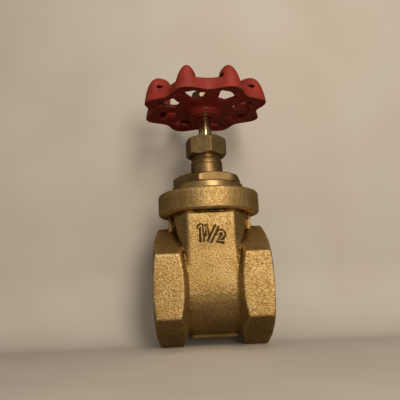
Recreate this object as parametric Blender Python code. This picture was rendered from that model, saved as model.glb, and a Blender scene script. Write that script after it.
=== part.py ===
"""Gate valve with a rising wedge and a non-rising spindle, at full size in metres.

The bore runs along X, the spindle stands along +Z and the numbered face of the chamber looks
along -Y.  The origin is where the axes of the bore and the spindle cross.  The valve is shut:
the wedge is fully down between its seats.
"""

import math

import bmesh
import bpy
from mathutils import Matrix, Vector

# --- Clearances ------------------------------------------------------------------------------
CLEARANCE = 0.0003  # between two pieces that touch
MERGE = 0.000001  # points closer than this are one point
OVERRUN = 0.002  # how far a cutter passes the faces that it cuts

# --- Bore, seats and wedge -------------------------------------------------------------------
BORE_RADIUS = 0.016
SEAT_RING_WALL = 0.0035
SEAT_OVERLAP = 0.002  # how far the wedge covers each seat ring
WEDGE_HALF_THICKNESS = 0.008  # at the bore's axis
WEDGE_SLOPE = math.tan(math.radians(4))
WEDGE_BOSS_RADIUS = 0.0072
WEDGE_BOSS_RISE = 0.0035  # of the boss above the wedge's disc
GUIDE_WIDTH = 0.005
GUIDE_DROP = 0.001  # of the guide lugs below the bore's axis
SEAT_RING_DEPTH = 0.0035  # of each ring's pocket in the body's cross wall

# --- Pipe ends -------------------------------------------------------------------------------
END_FACE_X = 0.030
HEX_WIDTH = 0.0171
HEX_WALL = 0.0053  # between the socket and the middle of a flat
SOCKET_RADIUS = 0.0222
SOCKET_DEPTH = 0.0125
SOCKET_MOUTH = 0.0012  # the bevel at the socket's mouth
HEX_TURN_INSET = 0.0003  # how far the turned end circle lies inside the flats
HEX_OUTER_TURN = 0.0012  # length of the turned bevel at a corner, outer end
HEX_INNER_TURN = 0.0020
HEX_ROOT_RADIUS = 0.0249  # where the sloping inner end meets the chamber
HEX_ROOT_TURN = 0.0015
NECK_WALL = 0.0025

# --- Chamber and the flare above it ----------------------------------------------------------
CHAMBER_WALL = 0.0035
CHAMBER_SIDE_WALL = 0.0031
POCKET_HALF_WIDTH = 0.0102
POCKET_MARGIN = 0.0025  # between the wedge's disc and the pocket's round bottom
PAD_HALF_WIDTH = 0.0120
CHAMBER_EDGE_DEPTH = 0.004  # how far the sloping edges fall back from the pad
CHAMBER_BELLY = 1.05  # depth of the round bottom over its radius
FLARE_HEIGHTS = (0.006, 0.017, 0.026, 0.034, 0.0365, 0.0370, 0.0403)
FLARE_HALF_WIDTHS = (0.0131, 0.0146, 0.0172, 0.0190, 0.0193, 0.0194, 0.0198)
FLARE_SIDES = (0.0192, 0.0188, 0.0166, 0.0138, 0.0131, 0.0129, 0.0122)
FLARE_PADS = (0.0236, 0.0239, 0.0242, 0.0243, 0.0243, 0.0232, 0.0232)
FLARE_WALL = 0.004
RIB_INNER = 0.0165
RIB_OUTER = 0.0228
RIB_FRONT = 0.004
RIB_BOTTOM = 0.020
BOSS_HALF_WIDTH = 0.0124
BOSS_HALF_DEPTH = 0.004
BOSS_BOTTOM = 0.0275
BOSS_TOP = 0.015

# --- Top ring and the bonnet's thread --------------------------------------------------------
RING_BOTTOM = 0.0383
RING_HEIGHT = 0.0117
RING_WALL = 0.0053
RING_EDGE = 0.0013
THREAD_DEPTH = 0.0092
GASKET_THICKNESS = 0.0008
SKIRT_MARGIN = 0.0016  # between the raised wedge and the bonnet's skirt
SKIRT_WALL = 0.0029

# --- Bonnet ----------------------------------------------------------------------------------
HEADROOM = 0.0008  # over the raised wedge
SKIRT_STRAIGHT = 0.0038  # of the cavity above the skirt's lower edge
DOME_RADIUS = 0.0145
DOME_RISE = 0.004
CEILING_RADIUS = 0.011
COLLAR_RADIUS = 0.0199
COLLAR_HEIGHT = 0.0051
COLLAR_EDGE = 0.0006
BONNET_HEX_FLATS = 0.035
BONNET_HEX_HEIGHT = 0.0049
BONNET_HEX_TURN = math.radians(15.6)
NECK_RADIUS = 0.00905
NECK_HEIGHT = 0.0084
RELIEF_RADIUS = 0.0074
RELIEF_HEIGHT = 0.0014
GLAND_THREAD_RADIUS = 0.0078
STUFFING_RADIUS = 0.0056
STUFFING_FLOOR = 0.002  # the web between the thrust collar and the packing

# --- Spindle ---------------------------------------------------------------------------------
SPINDLE_RADIUS = 0.00365
SPINDLE_THREAD_RADIUS = 0.0048
SPINDLE_THREAD_DEPTH = 0.0011
SPINDLE_PITCH = 0.003
SPINDLE_END = 0.0135
SPINDLE_NECK_RADIUS = 0.0046
THRUST_COLLAR_RADIUS = 0.0064
THRUST_COLLAR_HEIGHT = 0.0022
THRUST_WASHER_HEIGHT = 0.0007
RETAINER_HEIGHT = 0.003
RETAINER_RADIUS = 0.008
SQUARE_ACROSS = 0.0054
TIP_THREAD_RADIUS = 0.003
TIP_LENGTH = 0.0021  # past the wheel nut
TIP_BEVEL = 0.0005

# --- Packing and packing nut -----------------------------------------------------------------
PACKING_WASHER_HEIGHT = 0.0008
PACKING_RING_HEIGHT = 0.0022
FOLLOWER_NOSE = 0.0022
FOLLOWER_FLANGE_RADIUS = 0.0069
FOLLOWER_FLANGE_HEIGHT = 0.0016
FOLLOWER_TRAVEL = 0.0006  # left for tightening
NUT_FLATS = 0.021
NUT_TURN = math.radians(-16.2)
NUT_HEIGHT = 0.0105
NUT_ROOF = 0.0038
NUT_CORNER_TURN = 0.0011

# --- Handwheel -------------------------------------------------------------------------------
WHEEL_STANDOFF = 0.0132  # of the hub above the packing nut
HUB_RADIUS = 0.0099
HUB_HEIGHT = 0.009
HUB_LIP = 0.0007  # height of the lip round the hub's underside
HUB_NECK_RADIUS = 0.0092
HUB_TOP_RADIUS = 0.0086
HUB_COUNTERBORE = 0.0018  # depth of the round seat under the square hole
NECK_RISE = 0.004  # of the neck's upper end above the hub's underside
DISH_RADIUS = 0.020
DISH_RISE = 0.0044
DISH_THICKNESS = 0.0022
WEB_RISE = 0.0051
WEB_RADIUS = 0.0285  # where the web turns level
RIM_RISE = 0.0042
LOBES = 8
LOBE_TURN = math.radians(4)
VALLEY_RADIUS = 0.0311
LOBE_RADIUS = 0.0367
VALLEY_INNER_RADIUS = 0.0268
LOBE_INNER_RADIUS = 0.0215
VALLEY_HEIGHT = 0.008
HUMP_RISE = 0.0077
HUMP_OPENING = 0.0065  # height of the hump's inner edge above the rim's lower edge
HUMP_SPREAD = 0.43  # share of its lobe that a hump takes up
HUMP_POWER = 0.8
HUMP_STATIONS = (0, 0.13, 0.25, 0.35, 0.41, 0.45, 0.6, 0.8, 1)
RIM_SQUARENESS = 3.0
RIM_WALL = 0.0018
RIM_LEAN = 0.0016  # of the rim's top towards the hub
WINDOWS = LOBES
WINDOW_TURN = math.radians(33)
WINDOW_INNER_RADIUS = 0.0172
WINDOW_OUTER_RADIUS = 0.0282
WINDOW_INNER_SPAN = math.radians(17)
WINDOW_OUTER_SPAN = math.radians(30)
RECESS_OFFSET = math.radians(11)  # of each small recess from its hump's middle
RECESS_RADIUS_AT = 0.0316
RECESS_HEIGHT_AT = 0.0088
RECESS_LENGTH = 0.005
RECESS_WIDTH = 0.0026
RECESS_LEAN = math.radians(35)

# --- Wheel nut -------------------------------------------------------------------------------
WHEEL_WASHER_HEIGHT = 0.0012
WHEEL_WASHER_RADIUS = 0.0060
WHEEL_NUT_FLATS = 0.012
WHEEL_NUT_HEIGHT = 0.005
WHEEL_NUT_TURN = math.radians(8)

# --- Worked out from the sizes above ---------------------------------------------------------
SEAT_RING_RADIUS = BORE_RADIUS + SEAT_RING_WALL
WEDGE_RADIUS = BORE_RADIUS + SEAT_OVERLAP
LIFT = BORE_RADIUS + WEDGE_RADIUS
POCKET_RADIUS = WEDGE_RADIUS + POCKET_MARGIN
GUIDE_REACH = math.sqrt((POCKET_RADIUS - CLEARANCE) ** 2 - (GUIDE_WIDTH / 2) ** 2)
CHAMBER_RADIUS = POCKET_RADIUS + CHAMBER_WALL
CHAMBER_HALF_WIDTH = POCKET_HALF_WIDTH + CHAMBER_SIDE_WALL
SEAT_RING_END = POCKET_HALF_WIDTH + SEAT_RING_DEPTH
HEX_ACROSS_FLATS = 2 * (SOCKET_RADIUS + HEX_WALL)
NECK_TUBE_RADIUS = SEAT_RING_RADIUS + CLEARANCE + NECK_WALL

RING_TOP = RING_BOTTOM + RING_HEIGHT
LEDGE = RING_TOP - THREAD_DEPTH
GASKET_BOTTOM = LEDGE + CLEARANCE
GASKET_TOP = GASKET_BOTTOM + GASKET_THICKNESS
SKIRT_BOTTOM = GASKET_TOP + CLEARANCE
SKIRT_INNER_RADIUS = WEDGE_RADIUS + SKIRT_MARGIN
SKIRT_RADIUS = SKIRT_INNER_RADIUS + SKIRT_WALL
GUIDE_TOP = SKIRT_BOTTOM - 2 * CLEARANCE - LIFT
THREAD_BORE_RADIUS = SKIRT_RADIUS + CLEARANCE
RING_RADIUS = THREAD_BORE_RADIUS + RING_WALL
WEDGE_TOP = WEDGE_RADIUS + WEDGE_BOSS_RISE
CEILING = WEDGE_TOP + LIFT + HEADROOM

RETAINER_BOTTOM = CEILING
RETAINER_TOP = RETAINER_BOTTOM + RETAINER_HEIGHT
LOWER_WASHER_BOTTOM = RETAINER_TOP + CLEARANCE
LOWER_WASHER_TOP = LOWER_WASHER_BOTTOM + THRUST_WASHER_HEIGHT
COLLAR_BOTTOM = LOWER_WASHER_TOP + CLEARANCE
COLLAR_TOP = COLLAR_BOTTOM + THRUST_COLLAR_HEIGHT
UPPER_WASHER_BOTTOM = COLLAR_TOP + CLEARANCE
UPPER_WASHER_TOP = UPPER_WASHER_BOTTOM + THRUST_WASHER_HEIGHT
WEB_BOTTOM = UPPER_WASHER_TOP + CLEARANCE
BOX_FLOOR = WEB_BOTTOM + STUFFING_FLOOR
PACKING_WASHER_BOTTOM = BOX_FLOOR + CLEARANCE
PACKING_BOTTOM = PACKING_WASHER_BOTTOM + PACKING_WASHER_HEIGHT + CLEARANCE
PACKING_STEP = PACKING_RING_HEIGHT + CLEARANCE
FOLLOWER_BOTTOM = PACKING_BOTTOM + 3 * PACKING_STEP
FLANGE_BOTTOM = FOLLOWER_BOTTOM + FOLLOWER_NOSE
FLANGE_TOP = FLANGE_BOTTOM + FOLLOWER_FLANGE_HEIGHT
BONNET_TOP = FLANGE_BOTTOM - FOLLOWER_TRAVEL
NUT_CEILING = FLANGE_TOP + CLEARANCE
NUT_TOP = NUT_CEILING + NUT_ROOF
NUT_BOTTOM = NUT_TOP - NUT_HEIGHT

SPINDLE_HOLE_RADIUS = SPINDLE_RADIUS + CLEARANCE
THREAD_HOLE_RADIUS = SPINDLE_THREAD_RADIUS + CLEARANCE
BONNET_COLLAR_TOP = RING_TOP + COLLAR_HEIGHT
BONNET_HEX_TOP = BONNET_COLLAR_TOP + BONNET_HEX_HEIGHT
NECK_TOP = BONNET_HEX_TOP + NECK_HEIGHT
RELIEF_TOP = NECK_TOP + RELIEF_HEIGHT

HUB_BOTTOM = NUT_TOP + WHEEL_STANDOFF
HUB_TOP = HUB_BOTTOM + HUB_HEIGHT
SHOULDER = HUB_BOTTOM + HUB_COUNTERBORE
NECK_END = HUB_BOTTOM + NECK_RISE
DISH_UNDERSIDE = HUB_BOTTOM + DISH_RISE
WEB_UNDERSIDE = HUB_BOTTOM + WEB_RISE
RIM_BOTTOM = HUB_BOTTOM + RIM_RISE
WHEEL_WASHER_BOTTOM = HUB_TOP + CLEARANCE
WHEEL_NUT_BOTTOM = WHEEL_WASHER_BOTTOM + WHEEL_WASHER_HEIGHT + CLEARANCE
WHEEL_NUT_TOP = WHEEL_NUT_BOTTOM + WHEEL_NUT_HEIGHT
SPINDLE_TOP = WHEEL_NUT_TOP + TIP_LENGTH
TIP_HOLE_RADIUS = TIP_THREAD_RADIUS + CLEARANCE

ALONG_X = Matrix.Rotation(math.radians(90), 4, "Y")  # carries +Z to +X


# --- Materials -------------------------------------------------------------------------------
def metal(name, colour, roughness, metallic=1.0):
    material = bpy.data.materials.new(name)
    material.use_nodes = True
    shader = material.node_tree.nodes["Principled BSDF"]
    shader.inputs["Base Color"].default_value = (*colour, 1)
    shader.inputs["Roughness"].default_value = roughness
    shader.inputs["Metallic"].default_value = metallic
    return material


def make_materials():
    return {
        "cast": metal("cast_brass", (0.50, 0.34, 0.13), 0.5),
        "turned": metal("turned_brass", (0.66, 0.47, 0.20), 0.25),
        "polished": metal("polished_brass", (0.72, 0.56, 0.28), 0.15),
        "red": metal("red_paint", (0.46, 0.035, 0.03), 0.4, 0.0),
        "fibre": metal("gasket_fibre", (0.30, 0.10, 0.06), 0.8, 0.0),
        "packing": metal("graphite_packing", (0.05, 0.05, 0.055), 0.7, 0.0),
        "zinc": metal("plated_steel", (0.45, 0.42, 0.32), 0.35),
    }


# --- Making and joining solids ---------------------------------------------------------------
def new_object(name, bm, material=None, turn=None):
    """An object from a closed bmesh, with its faces pointing out."""
    if turn is not None:
        bm.transform(turn)
    bmesh.ops.remove_doubles(bm, verts=bm.verts, dist=MERGE)
    bmesh.ops.connect_verts_nonplanar(bm, angle_limit=math.radians(0.05), faces=bm.faces)
    bmesh.ops.recalc_face_normals(bm, faces=bm.faces)
    mesh = bpy.data.meshes.new(name)
    bm.to_mesh(mesh)
    bm.free()
    mesh.shade_smooth()
    mesh.set_sharp_from_angle(angle=math.radians(32))
    if material is not None:
        mesh.materials.append(material)
    thing = bpy.data.objects.new(name, mesh)
    bpy.context.scene.collection.objects.link(thing)
    return thing


def turned(profile, segments=48):
    """A closed outline of (radius, height) points spun once round Z."""
    bm = bmesh.new()
    points = [bm.verts.new((radius, 0, height)) for radius, height in profile]
    edges = [bm.edges.new((a, b)) for a, b in zip(points, points[1:] + points[:1])]
    bmesh.ops.spin(
        bm,
        geom=points + edges,
        cent=(0, 0, 0),
        axis=(0, 0, 1),
        angle=2 * math.pi,
        steps=segments,
        use_merge=True,
    )
    bmesh.ops.remove_doubles(bm, verts=bm.verts, dist=MERGE)
    return bm


def lofted(sections):
    """A solid through closed sections that have the same number of points."""
    bm = bmesh.new()
    rings = [[bm.verts.new(point) for point in section] for section in sections]
    for low, high in zip(rings, rings[1:]):
        for i in range(len(low)):
            j = (i + 1) % len(low)
            bm.faces.new((low[i], low[j], high[j], high[i]))
    bm.faces.new(rings[0])
    bm.faces.new(rings[-1])
    return bm


def hexagon(across_flats, low, high, turn=0.0):
    """A six-sided prism along Z.  Its turn is the angle of a flat from -Y towards +X."""
    radius = across_flats / math.sqrt(3)
    angles = [turn + k * math.pi / 3 for k in range(6)]
    corners = [(radius * math.cos(a), radius * math.sin(a)) for a in angles]
    return lofted([[(x, y, z) for x, y in corners] for z in (low, high)])


def block(low, high):
    bm = bmesh.new()
    bmesh.ops.create_cube(bm, size=1)
    low, high = Vector(low), Vector(high)
    for vert in bm.verts:
        vert.co = (low + high) / 2 + Vector(a * b for a, b in zip(vert.co, high - low))
    return bm


def mirrored_block(low, high):
    """Two copies of a block, at +X and -X."""
    bm = block(low, high)
    mesh = bpy.data.meshes.new("mirrored_block")
    bm.transform(Matrix.Scale(-1, 4, (1, 0, 0)))
    bm.to_mesh(mesh)
    bm.free()
    both = block(low, high)
    both.from_mesh(mesh)
    return both


def helper(name, bm, turn=None):
    """A cutter, or a shape to be joined on, which isn't itself a piece."""
    thing = new_object(name, bm, turn=turn)
    thing.hide_render = True
    thing.display_type = "WIRE"
    return thing


def combine(piece, operation, *helpers):
    for other in helpers:
        modifier = piece.modifiers.new(other.name, "BOOLEAN")
        modifier.operation = operation
        modifier.solver = "EXACT"
        modifier.object = other


def ring(inner, outer, low, high, segments=32):
    return turned([(inner, low), (outer, low), (outer, high), (inner, high)], segments)


def rod(radius, low, high, segments=32):
    return turned([(0, low), (radius, low), (radius, high), (0, high)], segments)


# --- Body ------------------------------------------------------------------------------------
def pipe_hexagon(side):
    """One socket's hexagon, a corner upwards, with its ends turned to circles."""
    inner, outer = END_FACE_X - HEX_WIDTH, END_FACE_X
    corner = HEX_ACROSS_FLATS / math.sqrt(3)
    circle = HEX_ACROSS_FLATS / 2 - HEX_TURN_INSET
    spare = OVERRUN / (corner - circle)
    beyond = corner + OVERRUN
    root = inner + HEX_ROOT_TURN
    profile = [
        (0, inner),
        (HEX_ROOT_RADIUS, inner),
        (circle, root),
        (beyond, root + HEX_INNER_TURN * (1 + spare)),
        (beyond, outer - HEX_OUTER_TURN * (1 + spare)),
        (circle, outer),
        (0, outer),
    ]
    turn = ALONG_X if side > 0 else Matrix.Rotation(math.radians(-90), 4, "Y")
    prism = hexagon(HEX_ACROSS_FLATS, inner - OVERRUN, outer + OVERRUN)
    tag = "right" if side > 0 else "left"
    end = helper(f"hexagon_{tag}", prism, turn)
    turning = helper(f"hexagon_turning_{tag}", turned(profile, 48), turn)
    combine(end, "INTERSECT", turning)
    return end


def chamber_outline(x, inset, top, steps=20):
    """The chamber's side view: a half round under two upright sides."""
    radius = CHAMBER_RADIUS - inset
    angles = [math.pi * k / steps for k in range(steps + 1)]
    drop = radius * CHAMBER_BELLY
    arc = [(x, -radius * math.cos(a), -drop * math.sin(a)) for a in angles]
    return [*arc, (x, radius, top), (x, -radius, top)]


def chamber():
    """The narrow housing of the wedge, its long edges sloping back from the flat pads."""
    top = FLARE_HEIGHTS[1]
    stations = (
        (-CHAMBER_HALF_WIDTH, CHAMBER_EDGE_DEPTH),
        (-PAD_HALF_WIDTH, 0),
        (PAD_HALF_WIDTH, 0),
        (CHAMBER_HALF_WIDTH, CHAMBER_EDGE_DEPTH),
    )
    return lofted([chamber_outline(x, inset, top) for x, inset in stations])


def flare():
    """Carries the narrow chamber out to the round top ring."""
    sections = []
    stations = zip(FLARE_HEIGHTS, FLARE_HALF_WIDTHS, FLARE_SIDES, FLARE_PADS)
    for height, half_width, side, pad in stations:
        corners = [(PAD_HALF_WIDTH, pad), (half_width, side), (half_width, -side)]
        corners += [(PAD_HALF_WIDTH, -pad), (-PAD_HALF_WIDTH, -pad), (-half_width, -side)]
        corners += [(-half_width, side), (-PAD_HALF_WIDTH, pad)]
        sections.append([(x, y, height) for x, y in corners])
    return lofted(sections)


def flare_hollow():
    """The room inside the flare, a wall's thickness in from its sides."""
    heights = [*FLARE_HEIGHTS[1:-1], LEDGE + OVERRUN]
    sections = []
    for height, outer in zip(heights, FLARE_HALF_WIDTHS[1:]):
        half, deep = outer - FLARE_WALL, POCKET_RADIUS + OVERRUN
        corners = ((half, -deep), (half, deep), (-half, deep), (-half, -deep))
        sections.append([(x, y, height) for x, y in corners])
    return lofted(sections)


def top_ring():
    edge = RING_RADIUS - RING_EDGE
    return turned(
        [
            (0, RING_BOTTOM),
            (edge, RING_BOTTOM),
            (RING_RADIUS, RING_BOTTOM + RING_EDGE),
            (RING_RADIUS, RING_TOP - RING_EDGE),
            (edge, RING_TOP),
            (0, RING_TOP),
        ],
        56,
    )


def passage():
    """Both sockets, the flow bore and the seat rings' pockets, as one turned cutter along X."""
    mouth = SOCKET_RADIUS + SOCKET_MOUTH + OVERRUN
    floor = END_FACE_X - SOCKET_DEPTH
    seat = SEAT_RING_RADIUS + CLEARANCE
    half = [
        (seat, SEAT_RING_END + CLEARANCE),
        (BORE_RADIUS, SEAT_RING_END + CLEARANCE),
        (BORE_RADIUS, floor),
        (SOCKET_RADIUS, floor),
        (SOCKET_RADIUS, END_FACE_X - SOCKET_MOUTH),
        (mouth, END_FACE_X + OVERRUN),
    ]
    other = [(radius, -x) for radius, x in reversed(half)]
    return turned([(0, other[0][1]), *other, *half, (0, half[-1][1])], 48)


def pocket_slot():
    """The wedge's room: a half-round bottom under straight sides."""
    steps = 24
    angles = [math.pi * k / steps for k in range(steps + 1)]
    arc = [(-POCKET_RADIUS * math.cos(a), -POCKET_RADIUS * math.sin(a)) for a in angles]
    outline = [*arc, (POCKET_RADIUS, LEDGE + OVERRUN), (-POCKET_RADIUS, LEDGE + OVERRUN)]
    stations = (-POCKET_HALF_WIDTH, POCKET_HALF_WIDTH)
    return lofted([[(x, y, z) for y, z in outline] for x in stations])


def thread_bore():
    top = RING_TOP + OVERRUN
    mouth = THREAD_BORE_RADIUS + SOCKET_MOUTH + OVERRUN
    return turned(
        [
            (0, LEDGE),
            (THREAD_BORE_RADIUS, LEDGE),
            (THREAD_BORE_RADIUS, RING_TOP - SOCKET_MOUTH),
            (mouth, top),
            (0, top),
        ],
        56,
    )


def pocket():
    """The wedge's room and the flare above it, all inside the gasket's seat."""
    room = helper("pocket", pocket_slot())
    combine(room, "UNION", helper("flare_hollow", flare_hollow()))
    limit = rod(POCKET_RADIUS, -POCKET_RADIUS - OVERRUN, LEDGE + OVERRUN / 2, 56)
    combine(room, "INTERSECT", helper("pocket_limit", limit))
    return room


def make_body(materials):
    neck_end = END_FACE_X - HEX_WIDTH + OVERRUN
    neck = rod(NECK_TUBE_RADIUS, -neck_end, neck_end, 64)
    turn = ALONG_X @ Matrix.Rotation(math.radians(1.7), 4, "Z")
    body = new_object("valve_body", neck, materials["cast"], turn)
    ribs = mirrored_block(
        (RIB_INNER, -RIB_FRONT, RIB_BOTTOM), (RIB_OUTER, RIB_FRONT, RING_BOTTOM + OVERRUN)
    )
    boss = block(
        (-BOSS_HALF_WIDTH, -BOSS_HALF_DEPTH, -BOSS_BOTTOM),
        (BOSS_HALF_WIDTH, BOSS_HALF_DEPTH, -BOSS_TOP),
    )
    combine(
        body,
        "UNION",
        helper("chamber", chamber()),
        helper("flare", flare()),
        helper("top_ring", top_ring()),
        helper("neck_ribs", ribs),
        helper("bottom_boss", boss),
        pipe_hexagon(1),
        pipe_hexagon(-1),
    )
    combine(
        body,
        "DIFFERENCE",
        helper("passage", passage(), turn),
        pocket(),
        helper("thread_bore", thread_bore()),
    )
    return body


# --- Seats and wedge -------------------------------------------------------------------------
def wedge_face(height):
    """Half the wedge's thickness at a height on its shut position."""
    return WEDGE_HALF_THICKNESS + WEDGE_SLOPE * height


def make_seat_ring(name, side, materials):
    """A ring whose inner face leans with the wedge."""
    bm = bmesh.new()
    steps = 56
    gap = CLEARANCE / math.cos(math.atan(WEDGE_SLOPE))
    loops = []
    for radius, leaning in (
        (BORE_RADIUS, True),
        (SEAT_RING_RADIUS, True),
        (SEAT_RING_RADIUS, False),
        (BORE_RADIUS, False),
    ):
        loop = []
        for k in range(steps):
            angle = 2 * math.pi * k / steps
            y, z = radius * math.cos(angle), radius * math.sin(angle)
            x = wedge_face(z) + gap if leaning else SEAT_RING_END
            loop.append(bm.verts.new((side * x, y, z)))
        loops.append(loop)
    for a, b in zip(loops, loops[1:] + loops[:1]):
        for i in range(steps):
            j = (i + 1) % steps
            bm.faces.new((a[i], a[j], b[j], b[i]))
    return new_object(name, bm, materials["turned"])


def make_wedge(materials):
    """The tapered disc with its boss and guide lugs, bored for the spindle."""
    steps = 56
    angles = [2 * math.pi * k / steps for k in range(steps)]
    rim = [(WEDGE_RADIUS * math.cos(a), WEDGE_RADIUS * math.sin(a)) for a in angles]
    disc = lofted([[(side * wedge_face(z), y, z) for y, z in rim] for side in (-1, 1)])
    wedge = new_object("wedge_gate", disc, materials["turned"])
    half = GUIDE_WIDTH / 2
    guides = block((-half, -GUIDE_REACH, -GUIDE_DROP), (half, GUIDE_REACH, GUIDE_TOP))
    combine(
        wedge,
        "UNION",
        helper("wedge_boss", rod(WEDGE_BOSS_RADIUS, WEDGE_RADIUS / 2, WEDGE_TOP)),
        helper("wedge_guides", guides),
    )
    reach = WEDGE_TOP + OVERRUN
    combine(wedge, "DIFFERENCE", helper("wedge_bore", rod(THREAD_HOLE_RADIUS, -reach, reach, 32)))
    return wedge


# --- Bonnet and what seals it ----------------------------------------------------------------
def bonnet_outside():
    return turned(
        [
            (0, SKIRT_BOTTOM),
            (SKIRT_RADIUS, SKIRT_BOTTOM),
            (SKIRT_RADIUS, RING_TOP - CLEARANCE),
            (COLLAR_RADIUS, RING_TOP - CLEARANCE),
            (COLLAR_RADIUS, BONNET_COLLAR_TOP - COLLAR_EDGE),
            (COLLAR_RADIUS - COLLAR_EDGE, BONNET_COLLAR_TOP),
            (NECK_RADIUS, BONNET_COLLAR_TOP),
            (NECK_RADIUS, NECK_TOP - (NECK_RADIUS - RELIEF_RADIUS) / 2),
            (RELIEF_RADIUS, NECK_TOP),
            (RELIEF_RADIUS, RELIEF_TOP),
            (GLAND_THREAD_RADIUS, RELIEF_TOP),
            (GLAND_THREAD_RADIUS, BONNET_TOP),
            (0, BONNET_TOP),
        ],
        48,
    )


def bonnet_inside():
    """The dome over the raised wedge, the thrust collar's room and the stuffing box."""
    dome_low = SKIRT_BOTTOM + SKIRT_STRAIGHT
    return turned(
        [
            (0, SKIRT_BOTTOM - OVERRUN),
            (SKIRT_INNER_RADIUS, SKIRT_BOTTOM - OVERRUN),
            (SKIRT_INNER_RADIUS, dome_low),
            (DOME_RADIUS, dome_low + DOME_RISE),
            (CEILING_RADIUS, dome_low + 2 * DOME_RISE),
            (CEILING_RADIUS, CEILING),
            (RETAINER_RADIUS + CLEARANCE, CEILING),
            (RETAINER_RADIUS + CLEARANCE, RETAINER_TOP + CLEARANCE),
            (THRUST_COLLAR_RADIUS + CLEARANCE, RETAINER_TOP + CLEARANCE),
            (THRUST_COLLAR_RADIUS + CLEARANCE, WEB_BOTTOM),
            (SPINDLE_HOLE_RADIUS, WEB_BOTTOM),
            (SPINDLE_HOLE_RADIUS, BOX_FLOOR),
            (STUFFING_RADIUS, BOX_FLOOR),
            (STUFFING_RADIUS, BONNET_TOP + OVERRUN),
            (0, BONNET_TOP + OVERRUN),
        ],
        40,
    )


def make_bonnet(materials):
    bonnet = new_object("bonnet", bonnet_outside(), materials["turned"])
    corner = BONNET_HEX_FLATS / math.sqrt(3)
    flat = BONNET_HEX_FLATS / 2
    low = BONNET_COLLAR_TOP - COLLAR_EDGE
    prism = hexagon(BONNET_HEX_FLATS, low, BONNET_HEX_TOP + OVERRUN, BONNET_HEX_TURN)
    top = helper("bonnet_hexagon", prism)
    turning = turned(
        [
            (0, low - OVERRUN),
            (corner + OVERRUN, low - OVERRUN),
            (corner + OVERRUN, BONNET_HEX_TOP - (corner + OVERRUN - flat)),
            (flat, BONNET_HEX_TOP),
            (0, BONNET_HEX_TOP),
        ],
        60,
    )
    combine(top, "INTERSECT", helper("bonnet_hexagon_turning", turning))
    combine(bonnet, "UNION", top)
    combine(bonnet, "DIFFERENCE", helper("bonnet_inside", bonnet_inside()))
    return bonnet


def make_bonnet_fittings(materials):
    inner = POCKET_RADIUS + CLEARANCE
    gasket = ring(inner, SKIRT_RADIUS, GASKET_BOTTOM, GASKET_TOP, 48)
    new_object("bonnet_gasket", gasket, materials["fibre"])
    retainer = ring(THREAD_HOLE_RADIUS, RETAINER_RADIUS, RETAINER_BOTTOM, RETAINER_TOP)
    new_object("spindle_retainer", retainer, materials["turned"])
    washers = (
        ("thrust_washer_lower", LOWER_WASHER_BOTTOM, THREAD_HOLE_RADIUS),
        ("thrust_washer_upper", UPPER_WASHER_BOTTOM, SPINDLE_HOLE_RADIUS),
    )
    for name, low, inner in washers:
        washer = ring(inner, THRUST_COLLAR_RADIUS, low, low + THRUST_WASHER_HEIGHT)
        new_object(name, washer, materials["fibre"])


def make_packing(materials):
    outer = STUFFING_RADIUS - CLEARANCE
    low = PACKING_WASHER_BOTTOM
    washer = ring(SPINDLE_HOLE_RADIUS, outer, low, low + PACKING_WASHER_HEIGHT)
    new_object("packing_washer", washer, materials["turned"])
    for k, place in enumerate(("lower", "middle", "upper")):
        low = PACKING_BOTTOM + k * PACKING_STEP
        packing = ring(SPINDLE_HOLE_RADIUS, outer, low, low + PACKING_RING_HEIGHT)
        new_object(f"packing_ring_{place}", packing, materials["packing"])
    follower = turned(
        [
            (SPINDLE_HOLE_RADIUS, FOLLOWER_BOTTOM),
            (outer, FOLLOWER_BOTTOM),
            (outer, FLANGE_BOTTOM),
            (FOLLOWER_FLANGE_RADIUS, FLANGE_BOTTOM),
            (FOLLOWER_FLANGE_RADIUS, FLANGE_TOP),
            (SPINDLE_HOLE_RADIUS, FLANGE_TOP),
        ],
        32,
    )
    new_object("gland_follower", follower, materials["turned"])


def make_packing_nut(materials):
    corner = NUT_FLATS / math.sqrt(3)
    flat = NUT_FLATS / 2
    turning = helper(
        "packing_nut_turning",
        turned(
            [
                (0, NUT_BOTTOM),
                (flat, NUT_BOTTOM),
                (corner, NUT_BOTTOM + NUT_CORNER_TURN),
                (corner, NUT_TOP - NUT_CORNER_TURN),
                (flat, NUT_TOP),
                (0, NUT_TOP),
            ],
            48,
        ),
    )
    prism = hexagon(NUT_FLATS, NUT_BOTTOM - OVERRUN, NUT_TOP + OVERRUN, NUT_TURN)
    nut = new_object("packing_nut", prism, materials["cast"])
    combine(nut, "INTERSECT", turning)
    hollow = turned(
        [
            (0, NUT_BOTTOM - OVERRUN),
            (GLAND_THREAD_RADIUS + CLEARANCE, NUT_BOTTOM - OVERRUN),
            (GLAND_THREAD_RADIUS + CLEARANCE, NUT_CEILING),
            (SPINDLE_HOLE_RADIUS, NUT_CEILING),
            (SPINDLE_HOLE_RADIUS, NUT_TOP + OVERRUN),
            (0, NUT_TOP + OVERRUN),
        ],
        48,
    )
    combine(nut, "DIFFERENCE", helper("packing_nut_hollow", hollow))
    return nut


# --- Spindle ---------------------------------------------------------------------------------
def thread_radius(angle, height):
    """Radius on a left-hand trapezoidal thread."""
    phase = (height / SPINDLE_PITCH + angle / (2 * math.pi)) % 1.0
    slope = min(max(2.5 - abs(phase - 0.5) * 8, 0.0), 1.0)
    return SPINDLE_THREAD_RADIUS - SPINDLE_THREAD_DEPTH * (1 - slope)


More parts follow.
